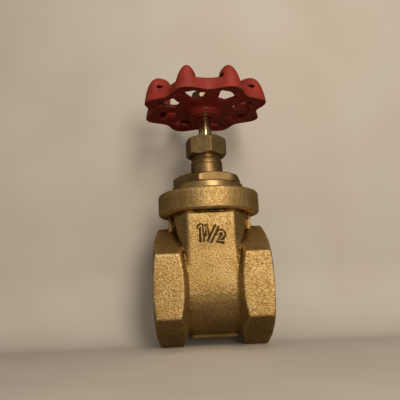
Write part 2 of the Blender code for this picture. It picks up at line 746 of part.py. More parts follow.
def make_spindle(materials):
    """One turned rod: thread, neck, thrust collar, stem, square and tip."""
    steps = 14
    per_pitch = 5
    thread_top = RETAINER_BOTTOM
    count = round((thread_top - SPINDLE_END) / SPINDLE_PITCH * per_pitch)
    heights = [SPINDLE_END + k * (thread_top - SPINDLE_END) / count for k in range(count + 1)]
    point = [(SPINDLE_THREAD_RADIUS / 3, SPINDLE_END - SPINDLE_THREAD_RADIUS / 3)]
    plain = [
        (SPINDLE_NECK_RADIUS, thread_top + CLEARANCE),
        (SPINDLE_NECK_RADIUS, COLLAR_BOTTOM),
        (THRUST_COLLAR_RADIUS, COLLAR_BOTTOM),
        (THRUST_COLLAR_RADIUS, COLLAR_TOP),
        (SPINDLE_RADIUS, COLLAR_TOP),
        (SPINDLE_RADIUS, SHOULDER),
        (TIP_THREAD_RADIUS, HUB_TOP),
        (TIP_THREAD_RADIUS, SPINDLE_TOP - TIP_BEVEL),
        (TIP_THREAD_RADIUS - TIP_BEVEL, SPINDLE_TOP),
    ]
    angles = [2 * math.pi * k / steps for k in range(steps)]
    sections = [[(r, a, z) for a in angles] for r, z in point]
    sections += [[(thread_radius(a, z), a, z) for a in angles] for z in heights]
    sections += [[(r, a, z) for a in angles] for r, z in plain]
    rings = [[(r * math.cos(a), r * math.sin(a), z) for r, a, z in s] for s in sections]
    spindle = new_object("spindle", lofted(rings), materials["polished"])
    half = SQUARE_ACROSS / 2
    square = block((-half, -half, SHOULDER), (half, half, HUB_TOP))
    drive = helper("spindle_square", square)
    limit = rod(SPINDLE_RADIUS, SHOULDER - OVERRUN, HUB_TOP + OVERRUN)
    combine(drive, "INTERSECT", helper("spindle_square_limit", limit))
    waste = ring(half - OVERRUN, SPINDLE_RADIUS + OVERRUN, SHOULDER, HUB_TOP, 32)
    combine(spindle, "DIFFERENCE", helper("spindle_square_waste", waste))
    combine(spindle, "UNION", drive)
    return spindle


# --- Handwheel -------------------------------------------------------------------------------
def lobe_angle(index, away=0.0):
    """The angle from -Y of a lobe's middle, or of a place on it up to 1 lobe half away."""
    return LOBE_TURN + (index + 0.5 + away / 2) * 2 * math.pi / LOBES


def rim_sizes(away):
    """The rim's outer radius, inner radius, height and open height beside a lobe's middle."""
    lobe = (1 + math.cos(math.pi * away)) / 2
    hump = max(1 - (away / HUMP_SPREAD) ** 2, 0.0) ** HUMP_POWER
    outer = VALLEY_RADIUS + (LOBE_RADIUS - VALLEY_RADIUS) * lobe
    inner = VALLEY_INNER_RADIUS + (LOBE_INNER_RADIUS - VALLEY_INNER_RADIUS) * hump
    return outer, inner, VALLEY_HEIGHT + HUMP_RISE * hump, HUMP_OPENING * hump


def rim_section(index, away):
    """The rim's thin section: out over its top, and back under it a wall's thickness inside."""
    angle = lobe_angle(index, away)
    outer, inner, height, opening = rim_sizes(away)
    middle, half = (outer + inner) / 2, (outer - inner) / 2
    sweeps = [math.pi * k / 8 for k in range(9)]
    points = []
    for wall, order in ((0.0, sweeps), (RIM_WALL, sweeps[::-1])):
        for sweep in order:
            flat = abs(math.cos(sweep)) ** (2 / RIM_SQUARENESS)
            up = max(math.sin(sweep), 0.0) ** (2 / RIM_SQUARENESS)
            base = opening if sweep > math.pi / 2 else 0.0
            radius = middle + (half - wall) * math.copysign(flat, math.cos(sweep)) - RIM_LEAN * up
            rise = base + (height - wall - base) * up
            points.append(
                (radius * math.sin(angle), -radius * math.cos(angle), RIM_BOTTOM + rise)
            )
    return points


def closed_tube(loops):
    """A ring of closed sections, the last one joined to the first."""
    bm = bmesh.new()
    rings = [[bm.verts.new(point) for point in loop] for loop in loops]
    for a, b in zip(rings, rings[1:] + rings[:1]):
        for i in range(len(a)):
            j = (i + 1) % len(a)
            bm.faces.new((a[i], a[j], b[j], b[i]))
    return bm


def rim_stations():
    """The places of the rim's sections, all the way round."""
    stations = [-away for away in HUMP_STATIONS[:0:-1]] + list(HUMP_STATIONS[:-1])
    return [(index, away) for index in range(LOBES) for away in stations]


def rim():
    return closed_tube([rim_section(index, away) for index, away in rim_stations()])


def web_limit():
    """A prism whose plan follows the middle of the rim's wall."""
    outline = []
    for index, away in rim_stations():
        angle = lobe_angle(index, away)
        radius = rim_sizes(away)[0] - RIM_WALL / 2
        outline.append((radius * math.sin(angle), -radius * math.cos(angle)))
    heights = (HUB_BOTTOM - OVERRUN, HUB_TOP + OVERRUN)
    return lofted([[(x, y, z) for x, y in outline] for z in heights])


def recesses():
    """A small eye-shaped recess in both flanks of each hump."""
    bm = bmesh.new()
    for k in range(LOBES):
        for side in (-1, 1):
            angle = lobe_angle(k) + side * RECESS_OFFSET
            centre = Vector((0, -RECESS_RADIUS_AT, RIM_BOTTOM + RECESS_HEIGHT_AT))
            place = Matrix.Rotation(angle, 4, "Z") @ Matrix.Translation(centre)
            lean = Matrix.Rotation(side * RECESS_LEAN, 4, "Z")
            size = Matrix.Diagonal((RECESS_LENGTH, RECESS_LENGTH / 2, RECESS_WIDTH, 1)) * 0.5
            size[3][3] = 1
            bmesh.ops.create_uvsphere(
                bm, u_segments=6, v_segments=4, radius=1, matrix=place @ lean @ size
            )
    return bm


def dish():
    """Hub, neck and sloping web in one turned shape."""
    return turned(
        [
            (0, HUB_BOTTOM),
            (HUB_RADIUS, HUB_BOTTOM),
            (HUB_RADIUS, HUB_BOTTOM + HUB_LIP),
            (HUB_NECK_RADIUS, NECK_END),
            (DISH_RADIUS, DISH_UNDERSIDE),
            (WEB_RADIUS, WEB_UNDERSIDE),
            (LOBE_RADIUS, WEB_UNDERSIDE),
            (LOBE_RADIUS, WEB_UNDERSIDE + DISH_THICKNESS),
            (WEB_RADIUS, WEB_UNDERSIDE + DISH_THICKNESS),
            (DISH_RADIUS, DISH_UNDERSIDE + DISH_THICKNESS),
            (HUB_NECK_RADIUS, NECK_END + DISH_THICKNESS),
            (HUB_TOP_RADIUS, HUB_TOP),
            (0, HUB_TOP),
        ],
        48,
    )


def windows():
    """The openings between the spokes, as separate curved blocks."""
    bm = bmesh.new()
    low = HUB_BOTTOM - OVERRUN
    high = WEB_UNDERSIDE + DISH_THICKNESS + OVERRUN
    steps = 6
    sides = ((WINDOW_INNER_RADIUS, WINDOW_INNER_SPAN), (WINDOW_OUTER_RADIUS, -WINDOW_OUTER_SPAN))
    for k in range(WINDOWS):
        middle = WINDOW_TURN + k * 2 * math.pi / WINDOWS
        outline = []
        for radius, span in sides:
            for j in range(steps + 1):
                angle = middle + span * (j / steps - 0.5)
                outline.append((radius * math.sin(angle), -radius * math.cos(angle)))
        rings = [[bm.verts.new((x, y, z)) for x, y in outline] for z in (low, high)]
        for i in range(len(outline)):
            j = (i + 1) % len(outline)
            bm.faces.new((rings[0][i], rings[0][j], rings[1][j], rings[1][i]))
        bm.faces.new(rings[0])
        bm.faces.new(rings[1])
    return bm


def make_handwheel(materials):
    wheel = new_object("handwheel", rim(), materials["red"])
    combine(wheel, "DIFFERENCE", helper("recesses", recesses()))
    middle = helper("wheel_dish", dish())
    combine(middle, "INTERSECT", helper("web_limit", web_limit()))
    combine(middle, "DIFFERENCE", helper("wheel_windows", windows()))
    combine(wheel, "UNION", middle)
    half = SQUARE_ACROSS / 2 + CLEARANCE
    square = block((-half, -half, HUB_BOTTOM - OVERRUN), (half, half, HUB_TOP + OVERRUN))
    counterbore = rod(SPINDLE_HOLE_RADIUS, HUB_BOTTOM - OVERRUN, SHOULDER + CLEARANCE, 32)
    combine(
        wheel,
        "DIFFERENCE",
        helper("hub_square", square),
        helper("hub_counterbore", counterbore),
    )
    return wheel


def make_wheel_fastening(materials):
    low = WHEEL_WASHER_BOTTOM
    washer = ring(TIP_HOLE_RADIUS, WHEEL_WASHER_RADIUS, low, low + WHEEL_WASHER_HEIGHT)
    new_object("wheel_washer", washer, materials["zinc"])
    prism = hexagon(WHEEL_NUT_FLATS, WHEEL_NUT_BOTTOM, WHEEL_NUT_TOP, WHEEL_NUT_TURN)
    nut = new_object("wheel_nut", prism, materials["zinc"])
    bore = rod(TIP_HOLE_RADIUS, WHEEL_NUT_BOTTOM - OVERRUN, WHEEL_NUT_TOP + OVERRUN, 32)
    combine(nut, "DIFFERENCE", helper("wheel_nut_bore", bore))


def main():
    for thing in list(bpy.data.objects):
        bpy.data.objects.remove(thing)
    materials = make_materials()
    make_body(materials)
    make_seat_ring("seat_ring_left", -1, materials)
    make_seat_ring("seat_ring_right", 1, materials)
    make_wedge(materials)
    make_bonnet(materials)
    make_bonnet_fittings(materials)
    make_packing(materials)
    make_packing_nut(materials)
    make_spindle(materials)
    make_handwheel(materials)
    make_wheel_fastening(materials)


main()
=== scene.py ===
"""Brass gate valve with a red handwheel: the finish of every piece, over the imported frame.

Lengths are metres.  The bore runs along X, the spindle stands along +Z and the numbered face of
the chamber looks along -Y, as in the frame.
"""

import math

import bmesh
import bpy
from mathutils import Matrix, Vector


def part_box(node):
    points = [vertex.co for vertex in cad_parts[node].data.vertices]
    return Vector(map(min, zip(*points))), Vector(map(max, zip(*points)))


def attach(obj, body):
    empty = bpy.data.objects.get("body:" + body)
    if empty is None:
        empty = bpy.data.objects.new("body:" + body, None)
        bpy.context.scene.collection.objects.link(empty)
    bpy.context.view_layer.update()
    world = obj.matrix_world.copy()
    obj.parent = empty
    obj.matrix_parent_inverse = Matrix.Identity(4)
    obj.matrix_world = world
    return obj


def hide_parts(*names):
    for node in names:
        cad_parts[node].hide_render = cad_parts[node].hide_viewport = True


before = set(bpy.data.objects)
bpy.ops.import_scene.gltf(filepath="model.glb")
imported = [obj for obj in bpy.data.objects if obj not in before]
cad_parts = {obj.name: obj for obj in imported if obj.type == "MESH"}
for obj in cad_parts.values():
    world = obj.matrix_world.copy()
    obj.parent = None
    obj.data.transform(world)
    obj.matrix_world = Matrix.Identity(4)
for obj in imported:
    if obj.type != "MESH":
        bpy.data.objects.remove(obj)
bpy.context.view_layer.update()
MM = 0.001
MERGE = 0.000001  # points closer than this are one point
SHARP_ANGLE = math.radians(30)

# --- Sizes taken from the frame --------------------------------------------------------------
BODY_LOW, BODY_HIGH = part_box("valve_body")
BONNET_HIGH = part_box("bonnet")[1]
NUT_LOW, NUT_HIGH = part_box("packing_nut")
SPINDLE_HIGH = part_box("spindle")[1]
WHEEL_LOW, WHEEL_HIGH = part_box("handwheel")
WASHER_LOW, WASHER_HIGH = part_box("wheel_washer")
WHEEL_NUT_LOW, WHEEL_NUT_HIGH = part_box("wheel_nut")
END_FACE = BODY_HIGH.x
RING_TOP = BODY_HIGH.z

# --- Body ------------------------------------------------------------------------------------
CAST_CELL = 0.62 * MM  # of the grid that the casting is remade on
CAST_ROUNDING = 4
CHAMBER_ROUNDING = 14  # more of it between the two hexagons
CHAMBER_REACH = 13.6 * MM
CHAMBER_TOP = 37 * MM
FILLET_STATIONS = (  # height, and across and out to the fillet's corner, in millimetres
    (9.0, 13.2, 23.6),
    (14.0, 13.8, 23.0),
    (18.0, 14.4, 21.9),
    (22.0, 15.4, 20.0),
    (26.0, 17.0, 17.0),
    (29.0, 17.6, 15.6),
)
FILLET_ROOT = ((10, 18), (11.8, 23.9))  # across and out, inside the pad's corner
FILLET_BACK = 15  # out, inside the hexagon
SOCKET_DEPTH = 12.5 * MM
SOCKET_CREST = 22.2 * MM
SOCKET_ROOT = 23.5 * MM
SOCKET_PITCH = 2.309 * MM
SOCKET_BORE = 24.3 * MM  # of the space that the threaded liner stands in
LINER_WALL = 0.5 * MM  # of the liner, inside the casting
END_FACE_RADIUS = 26.9 * MM
END_TRIM = 0.15 * MM  # taken off the casting under each turned end face
RING_RADIUS = 28.0 * MM
RING_HEIGHT = 11.7 * MM
RING_SKIN = 0.04 * MM  # of the finished ring, over the casting's
RING_DEPTH = 5 * MM
RING_BEVEL = 0.9 * MM

# --- Numerals --------------------------------------------------------------------------------
PAD_FACE = 24.2 * MM
NUMERAL_TOP = 29.7  # in millimetres, as the strokes are
NUMERAL_FOOT = 21.4
NUMERAL_STROKE = 0.6 * MM  # half the width of a ridge
NUMERAL_PROUD = 0.75 * MM
SHADE_BAND_STROKE = 1.6 * MM  # half the width of the dark band of painted shade round a ridge
SHADE_BAND_PROUD = 0.35 * MM

# --- Bonnet and packing nut ------------------------------------------------------------------
COLLAR_RADIUS = 19.9 * MM
COLLAR_HEIGHT = 5.1 * MM
COLLAR_INNER = 16.5 * MM
COLLAR_SEAT = 0.6 * MM  # of the collar, below the ring's top
BONNET_HEX_FLATS = 35 * MM
BONNET_HEX_HEIGHT = 4.9 * MM
BONNET_HEX_TURN = math.radians(15.6)
NECK_RADIUS = 9.15 * MM
NECK_GAP = 1.5 * MM  # between the neck's top and the nut
RELIEF_RADIUS = 7.4 * MM
RELIEF_HEIGHT = 0.7 * MM
CORE_SKIN = 0.02 * MM  # of the CAD bonnet's core under the turned faces
FACET_PITCH = 0.3 * MM  # of the rings of points that flats are milled from
GLAND_THREAD_RADIUS = 7.8 * MM
NUT_FLATS = 21 * MM
NUT_TURN = math.radians(-16.2)
NUT_BEVEL = 1.1 * MM

# --- Spindle and its nut ---------------------------------------------------------------------
STEM_RADIUS = 3.65 * MM
STEM_SKIN = 0.04 * MM  # of the bright barrel, over the CAD spindle's facets
TIP_CREST = 2.95 * MM
TIP_DEPTH = 0.45 * MM
TIP_PITCH = 1.0 * MM
LOCKNUT_FLATS = 12 * MM
LOCKNUT_BORE = 2.6 * MM
LOCKNUT_TURN = math.radians(8)
LOCKNUT_BEVEL = 0.7 * MM
WASHER_INNER = 3.2 * MM
WASHER_OUTER = 6.0 * MM

# --- Handwheel -------------------------------------------------------------------------------
LOBES = 8
LOBE_TURN = math.radians(4)
VALLEY_RADIUS = 31.1 * MM
LOBE_RADIUS = 36.8 * MM
VALLEY_INNER = 26.8 * MM
LOBE_INNER = 21.5 * MM
VALLEY_RISE = 8.0 * MM
HUMP_RISE = 7.9 * MM
HUMP_OPENING = 6.5 * MM
HUMP_SPREAD = 0.43
HUMP_POWER = 0.8
RIM_SQUARENESS = 3.0  # of the channel's section: 2 is an ellipse
RIM_WALL = 1.9 * MM
RIM_LEAN = 1.6 * MM
LOBE_LEAN = 1.0 * MM
RIM_EDGE = 100.35 * MM
WHEEL_CELL = 0.42 * MM
WHEEL_ROUNDING = 4
WEB_REACH = 40 * MM
WINDOWS = 8
WINDOW_INNER = 17.2 * MM
WINDOW_OUTER = 28.2 * MM
WINDOW_INNER_SPAN = math.radians(17)
WINDOW_OUTER_SPAN = math.radians(30)
WINDOW_TURN = math.radians(33)
WINDOW_REACH = 6 * MM  # of the windows' cutter above and below the rim's edge
RECESS_RADIUS = 29.8 * MM
RECESS_HEIGHT = 8.6 * MM  # above the rim's edge
RECESS_SIZE = (1.7 * MM, 2.9 * MM, 1.3 * MM)
RECESS_TURN = math.radians(9.5)  # to each side of a hump's middle

# --- Stage -----------------------------------------------------------------------------------
STAGE_REACH = 900 * MM
STAGE_BEND = 45 * MM
STAGE_WALL = 50 * MM  # from the spindle's axis back to the wall

# --- Camera ----------------------------------------------------------------------------------
SENSOR = 36  # in millimetres, as the lens is
LENS = 40.5
CAMERA_PLACE = (-9.1 * MM, -250.72 * MM, 0.27 * MM)
CAMERA_YAW = math.radians(-1.02)
CAMERA_PITCH = math.radians(10.69)
CAMERA_ROLL = math.radians(2.48)


# --- Objects and meshes ----------------------------------------------------------------------
def linked(name, data):
    """A new object in the scene."""
    thing = bpy.data.objects.new(name, data)
    bpy.context.scene.collection.objects.link(thing)
    return thing


def baked(thing):
    """The plain mesh that an object's modifiers make of it; the object is removed."""
    graph = bpy.context.evaluated_depsgraph_get()
    graph.update()
    mesh = bpy.data.meshes.new_from_object(thing.evaluated_get(graph), depsgraph=graph)
    bpy.data.objects.remove(thing)
    return mesh


def tidied(mesh):
    """Merge doubles and point the faces outwards."""
    bm = bmesh.new()
    bm.from_mesh(mesh)
    bmesh.ops.remove_doubles(bm, verts=bm.verts, dist=MERGE)
    bmesh.ops.recalc_face_normals(bm, faces=bm.faces)
    bm.to_mesh(mesh)
    bm.free()
    return mesh


def mesh_of(name, bm):
    """The tidied mesh of a bmesh, which is freed."""
    mesh = bpy.data.meshes.new(name)
    bm.to_mesh(mesh)
    bm.free()
    return tidied(mesh)


def piece(name, mesh, material, body, slot, *nodes):
    """A finished mesh in the scene, riding on a body in place of its CAD nodes."""
    mesh.materials.clear()
    mesh.materials.append(material)
    mesh.shade_smooth()
    mesh.set_sharp_from_angle(angle=SHARP_ANGLE)
    thing = linked(name, mesh)
    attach(thing, body)
    if nodes:
        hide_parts(*nodes)


def softened(outline, closed=False, steps=3):
    """An outline of (radius, height, rounding) points with its corners made arcs."""
    points = []
    last = len(outline) - 1
    for i, (radius, height, rounding) in enumerate(outline):
        corner = Vector((radius, height))
        if rounding == 0 or (not closed and i in (0, last)):
            points.append(corner)
            continue
        back = Vector(outline[i - 1][:2]) - corner
        onward = Vector(outline[(i + 1) % len(outline)][:2]) - corner
        reach = min(rounding, 0.45 * back.length, 0.45 * onward.length)
        start = corner + reach * back.normalized()
        end = corner + reach * onward.normalized()
        for k in range(steps + 1):
            t = k / steps
            points.append((1 - t) ** 2 * start + 2 * t * (1 - t) * corner + t**2 * end)
    return points


def turned(name, points, segments=96, closed=False, place=None):
    """An outline of (radius, height) points spun once round Z."""
    bm = bmesh.new()
    verts = [bm.verts.new((radius, 0, height)) for radius, height in points]
    following = verts[1:] + verts[:1] if closed else verts[1:]
    edges = [bm.edges.new(pair) for pair in zip(verts, following)]
    bmesh.ops.spin(
        bm,
        geom=verts + edges,
        cent=(0, 0, 0),
        axis=(0, 0, 1),
        angle=2 * math.pi,
        steps=segments,
        use_merge=True,
    )
    mesh = mesh_of(name, bm)
    if place is not None:
        mesh.transform(place)
    return mesh


def lofted(name, rings):
    """Rings of as many points each, joined in order and closed at both ends."""
    bm = bmesh.new()
    rows = [[bm.verts.new(place) for place in ring] for ring in rings]
    for low, high in zip(rows, rows[1:]):
        for i in range(len(low)):
            j = (i + 1) % len(low)
            bm.faces.new((low[i], low[j], high[j], high[i]))
    bm.faces.new(rows[0])
    bm.faces.new(rows[-1])
    return mesh_of(name, bm)


def divided(points, pitch):
    """The outline with points added so that none of its sides is longer than a pitch."""
    result = [Vector(points[0])]
    for point in points[1:]:
        step = Vector(point) - result[-1]
        start = result[-1]
        count = max(1, math.ceil(step.length / pitch))
        result += [start + step * k / count for k in range(1, count + 1)]
    return result


def without_slivers(mesh):
    """The mesh as clean triangles: no triangle without area, and none lying on another."""
    bm = bmesh.new()
    bm.from_mesh(mesh)
    bmesh.ops.remove_doubles(bm, verts=bm.verts, dist=MERGE)
    bmesh.ops.triangulate(bm, faces=bm.faces)
    bmesh.ops.dissolve_degenerate(bm, edges=bm.edges, dist=MERGE)
    bmesh.ops.triangulate(bm, faces=bm.faces)
    found = {}
    for face in bm.faces:
        found.setdefault(frozenset(vert.index for vert in face.verts), []).append(face)
    doubled = [face for faces in found.values() if len(faces) > 1 for face in faces]
    bmesh.ops.delete(bm, geom=doubled, context="FACES")
    return mesh_of(mesh.name, bm)


def shaped(name, mesh, *steps, cell=None, rounding=0):
    """A mesh after Boolean steps of (operation, mesh), then remade on a grid and smoothed."""
    thing = linked(name, mesh)
    helpers = []
    for operation, other in steps:
        helper = linked(f"{name}_helper", other)
        helpers.append(helper)
        modifier = thing.modifiers.new(operation, "BOOLEAN")
        modifier.operation = operation
        modifier.solver = "EXACT"
        modifier.object = helper
    if cell:
        grid = thing.modifiers.new("grid", "REMESH")
        grid.mode = "VOXEL"
        grid.voxel_size = cell
        smoothing = thing.modifiers.new("rounding", "SMOOTH")
        smoothing.factor = 0.5
        smoothing.iterations = rounding
    result = baked(thing)
    for helper in helpers:
        bpy.data.objects.remove(helper)
    return result if cell else without_slivers(result)


def eased(name, mesh, weight_at, rounding):
    """A mesh smoothed further where a weight from 0 to 1 says so."""
    thing = linked(name, mesh)
    group = thing.vertex_groups.new(name="eased")
    for vertex in mesh.vertices:
        weight = weight_at(vertex.co)
        if weight > 0:
            group.add([vertex.index], min(weight, 1.0), "REPLACE")
    smoothing = thing.modifiers.new("easing", "SMOOTH")
    smoothing.factor = 0.5
    smoothing.iterations = rounding
    smoothing.vertex_group = group.name
    return baked(thing)


def cad_copy(node):
    """A merged copy of a CAD node's mesh."""
    return tidied(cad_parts[node].data.copy())


# --- Formulas in node trees ------------------------------------------------------------------
class Field:
    """A value in a node tree that is worked with as a number is."""

    def __init__(self, tree, socket):
        self.tree = tree
        self.socket = socket

    def math(self, operation, *others):
        """What a Math node makes of this value and the others."""
        node = self.tree.nodes.new("ShaderNodeMath")
        node.operation = operation
        for entry, value in zip(node.inputs, (self, *others)):
            if isinstance(value, Field):
                self.tree.links.new(value.socket, entry)
            else:
                entry.default_value = value
        return Field(self.tree, node.outputs[0])

    def __add__(self, other):
        return self.math("ADD", other)

    def __sub__(self, other):
        return self.math("SUBTRACT", other)

    def __mul__(self, other):
        return self.math("MULTIPLY", other)

    def __truediv__(self, other):
        return self.math("DIVIDE", other)

    def __pow__(self, other):
        return self.math("POWER", other)

    __radd__ = __add__
    __rmul__ = __mul__

    def __rsub__(self, other):
        return self * -1 + other

    def clamped(self):
        return self.math("MAXIMUM", 0.0).math("MINIMUM", 1.0)


def separate(tree, vector):
    """The three Fields of a vector."""
    node = tree.nodes.new("ShaderNodeSeparateXYZ")
    tree.links.new(vector, node.inputs[0])
    return [Field(tree, node.outputs[axis]) for axis in "XYZ"]


def combined(tree, *values):
    """The vector socket of three Fields or numbers."""
    node = tree.nodes.new("ShaderNodeCombineXYZ")
    for entry, value in zip(node.inputs, values):
        if isinstance(value, Field):
            tree.links.new(value.socket, entry)
        else:
            entry.default_value = value
    return node.outputs[0]


# --- Geometry Nodes trees --------------------------------------------------------------------
def new_tree(name, sizes):
    """An empty tree with named inputs, and a Field for each of them."""
    tree = bpy.data.node_groups.new(name, "GeometryNodeTree")
    face = tree.interface
    face.new_socket("Blank", in_out="INPUT", socket_type="NodeSocketGeometry")
    for label, value in sizes.items():
        kind = "NodeSocketInt" if isinstance(value, int) else "NodeSocketFloat"
        face.new_socket(label, in_out="INPUT", socket_type=kind).default_value = value
    face.new_socket("Finish", in_out="INPUT", socket_type="NodeSocketMaterial")
    face.new_socket("Piece", in_out="OUTPUT", socket_type="NodeSocketGeometry")
    start = tree.nodes.new("NodeGroupInput")
    return tree, start, {label: Field(tree, start.outputs[label]) for label in sizes}


def close_tree(tree, start, geometry):
    """End a tree in real geometry with its finish set."""
    realize = tree.nodes.new("GeometryNodeRealizeInstances")
    finish = tree.nodes.new("GeometryNodeSetMaterial")
    end = tree.nodes.new("NodeGroupOutput")
    tree.links.new(geometry, realize.inputs["Geometry"])
    tree.links.new(realize.outputs["Geometry"], finish.inputs["Geometry"])
    tree.links.new(start.outputs["Finish"], finish.inputs["Material"])
    tree.links.new(finish.outputs["Geometry"], end.inputs["Piece"])
    return tree


def moved(tree, geometry, position):
    """The geometry with its points put at a position of their own."""
    node = tree.nodes.new("GeometryNodeSetPosition")
    tree.links.new(geometry, node.inputs["Geometry"])
    tree.links.new(position, node.inputs["Position"])
    return node.outputs["Geometry"]


def grown(name, tree, sizes, blank=None, finish=None):
    """The mesh that a tree makes of a blank with the given sizes."""
    thing = linked(name, blank or bpy.data.meshes.new(name))
    modifier = thing.modifiers.new(name, "NODES")
    modifier.node_group = tree
    sizes = {**sizes, "Finish": finish}
    for item in tree.interface.items_tree:
        if item.item_type == "SOCKET" and item.in_out == "INPUT" and item.name in sizes:
            modifier[item.identifier] = sizes[item.name]
    return tidied(baked(thing))


def lobed_rim_tree():
    """A hollow channel round Z that swells out and up at every lobe."""
    tree, start, size = new_tree(
        "lobed rim",
        {
            "Around": 40 * LOBES,
            "Across": 40,
            "Lobes": LOBES,
            "Turn": LOBE_TURN,
            "Valley Radius": VALLEY_RADIUS,
            "Lobe Radius": LOBE_RADIUS,
            "Valley Inner": VALLEY_INNER,
            "Lobe Inner": LOBE_INNER,
            "Valley Rise": VALLEY_RISE,
            "Hump Rise": HUMP_RISE,
            "Opening": HUMP_OPENING,
            "Spread": HUMP_SPREAD,
            "Power": HUMP_POWER,
            "Wall": RIM_WALL,
            "Lean": RIM_LEAN,
            "Lobe Lean": LOBE_LEAN,
            "Edge Height": RIM_EDGE,
        },
    )
    grid = tree.nodes.new("GeometryNodeMeshGrid")
    grid.inputs["Size X"].default_value = 1
    grid.inputs["Size Y"].default_value = 1
    tree.links.new((size["Around"] + 1).socket, grid.inputs["Vertices X"])
    tree.links.new((size["Across"] + 1).socket, grid.inputs["Vertices Y"])
    place = tree.nodes.new("GeometryNodeInputPosition")
    along, across, _ = separate(tree, place.outputs[0])
    angle = (along + 0.5) * (2 * math.pi)
    count = size["Across"]
    half_count = count / 2
    column = ((across + 0.5) * count).math("ROUND").math("FLOORED_MODULO", count)
    inside = column.math("GREATER_THAN", half_count - 0.5)
    step = column - inside * (2 * column - count + 1)
    sweep = step / (half_count - 1) * math.pi
    wave = (size["Lobes"] * (angle - size["Turn"])).math("COSINE") * -1
    lobe = (wave + 1) / 2
    away = wave.math("MINIMUM", 1.0).math("MAXIMUM", -1.0).math("ARCCOSINE") / math.pi
    share = away / size["Spread"]
    hump = (1 - share * share).math("MAXIMUM", 0.0) ** size["Power"]
    outer = size["Valley Radius"] + (size["Lobe Radius"] - size["Valley Radius"]) * lobe
    inner = size["Valley Inner"] + (size["Lobe Inner"] - size["Valley Inner"]) * hump
    height = size["Valley Rise"] + size["Hump Rise"] * hump
    wall = size["Wall"] * inside
    power = 2 / RIM_SQUARENESS
    cosine = sweep.math("COSINE")
    width = cosine.math("ABSOLUTE") ** power * cosine.math("SIGN")
    up = sweep.math("SINE").math("MAXIMUM", 0.0) ** power
    far_side = sweep.math("GREATER_THAN", math.pi / 2)
    base = size["Opening"] * hump * far_side
    radius = (outer + inner) / 2 + ((outer - inner) / 2 - wall) * width
    radius = radius - (size["Lean"] + size["Lobe Lean"] * lobe * (1 - far_side)) * up
    rise = base + (height - wall - base) * up
    position = combined(
        tree,
        radius * angle.math("SINE"),
        radius * angle.math("COSINE") * -1,
        rise + size["Edge Height"],
    )
    return close_tree(tree, start, moved(tree, grid.outputs["Mesh"], position))


def milled_hexagon_tree():
    """Mill six flats on a turned blank between two heights."""
    tree, start, size = new_tree(
        "milled hexagon", {"Flats": NUT_FLATS, "Low": 0.0, "High": 1.0, "Softness": 0.1 * MM}
    )
    place = tree.nodes.new("GeometryNodeInputPosition")
    x, y, z = separate(tree, place.outputs[0])
    radius = (x * x + y * y).math("SQRT")
    angle = y.math("ARCTAN2", x).math("FLOORED_MODULO", math.pi / 3) - math.pi / 6
    flat = size["Flats"] / 2 / angle.math("COSINE")
    milled = radius.math("SMOOTH_MIN", flat, size["Softness"])
    within = z.math("GREATER_THAN", size["Low"]) * z.math("LESS_THAN", size["High"])
    wanted = radius + (milled - radius) * within
    scale = wanted / radius.math("MAXIMUM", MERGE)
    position = combined(tree, x * scale, y * scale, z)
    return close_tree(tree, start, moved(tree, start.outputs["Blank"], position))


def screw_thread_tree():
    """Cut a thread into the turned blank's surface near one radius."""
    tree, start, size = new_tree(
        "screw thread",
        {
            "Surface": STEM_RADIUS,
            "Depth": 0.5 * MM,
            "Pitch": 1.0 * MM,
            "Low": 0.0,
            "High": 1.0,
            "Hand": 1.0,
        },
    )
    place = tree.nodes.new("GeometryNodeInputPosition")
    x, y, z = separate(tree, place.outputs[0])
    radius = (x * x + y * y).math("SQRT")
    angle = y.math("ARCTAN2", x) / (2 * math.pi)
    phase = (z / size["Pitch"] - angle * size["Hand"]).math("FLOORED_MODULO", 1.0)
    ridge = ((phase - 0.5).math("ABSOLUTE") * 3.2 - 0.3).clamped()
    near = (radius - size["Surface"]).math("ABSOLUTE").math("LESS_THAN", 0.05 * MM)
    fade = ((z - size["Low"]) / size["Pitch"]).clamped()
    fade = fade * ((size["High"] - z) / size["Pitch"]).clamped()
    wanted = radius - size["Depth"] * ridge * near * fade
    scale = wanted / radius.math("MAXIMUM", MERGE)
    position = combined(tree, x * scale, y * scale, z)
    return close_tree(tree, start, moved(tree, start.outputs["Blank"], position))


def ring_of_copies_tree():
    """Copies of the blank at equal turns round Z."""
    tree, start, size = new_tree("ring of copies", {"Count": LOBES, "Turn": 0.0})
    points = tree.nodes.new("GeometryNodePoints")
    copies = tree.nodes.new("GeometryNodeInstanceOnPoints")
    index = tree.nodes.new("GeometryNodeInputIndex")
    tree.links.new(start.outputs["Count"], points.inputs["Count"])
    tree.links.new(points.outputs[0], copies.inputs["Points"])
    tree.links.new(start.outputs["Blank"], copies.inputs["Instance"])
    turn = Field(tree, index.outputs[0]) * (2 * math.pi) / size["Count"] + size["Turn"]
    tree.links.new(combined(tree, 0.0, 0.0, turn), copies.inputs["Rotation"])
    return close_tree(tree, start, copies.outputs["Instances"])


LOBED_RIM = lobed_rim_tree()
MILLED_HEXAGON = milled_hexagon_tree()
SCREW_THREAD = screw_thread_tree()
RING_OF_COPIES = ring_of_copies_tree()


# --- Finishes --------------------------------------------------------------------------------
def new_finish(name, colour, roughness, metallic=1.0):
    """A material with its tree and shader."""
    material = bpy.data.materials.new(name)
    material.use_nodes = True
    tree = material.node_tree
    shader = tree.nodes["Principled BSDF"]
    shader.inputs["Base Color"].default_value = (*colour, 1)
    shader.inputs["Roughness"].default_value = roughness
    shader.inputs["Metallic"].default_value = metallic
    return material, tree, shader


def object_place(tree):
    """The place of a shaded point, on the object itself."""
    return tree.nodes.new("ShaderNodeTexCoord").outputs["Object"]


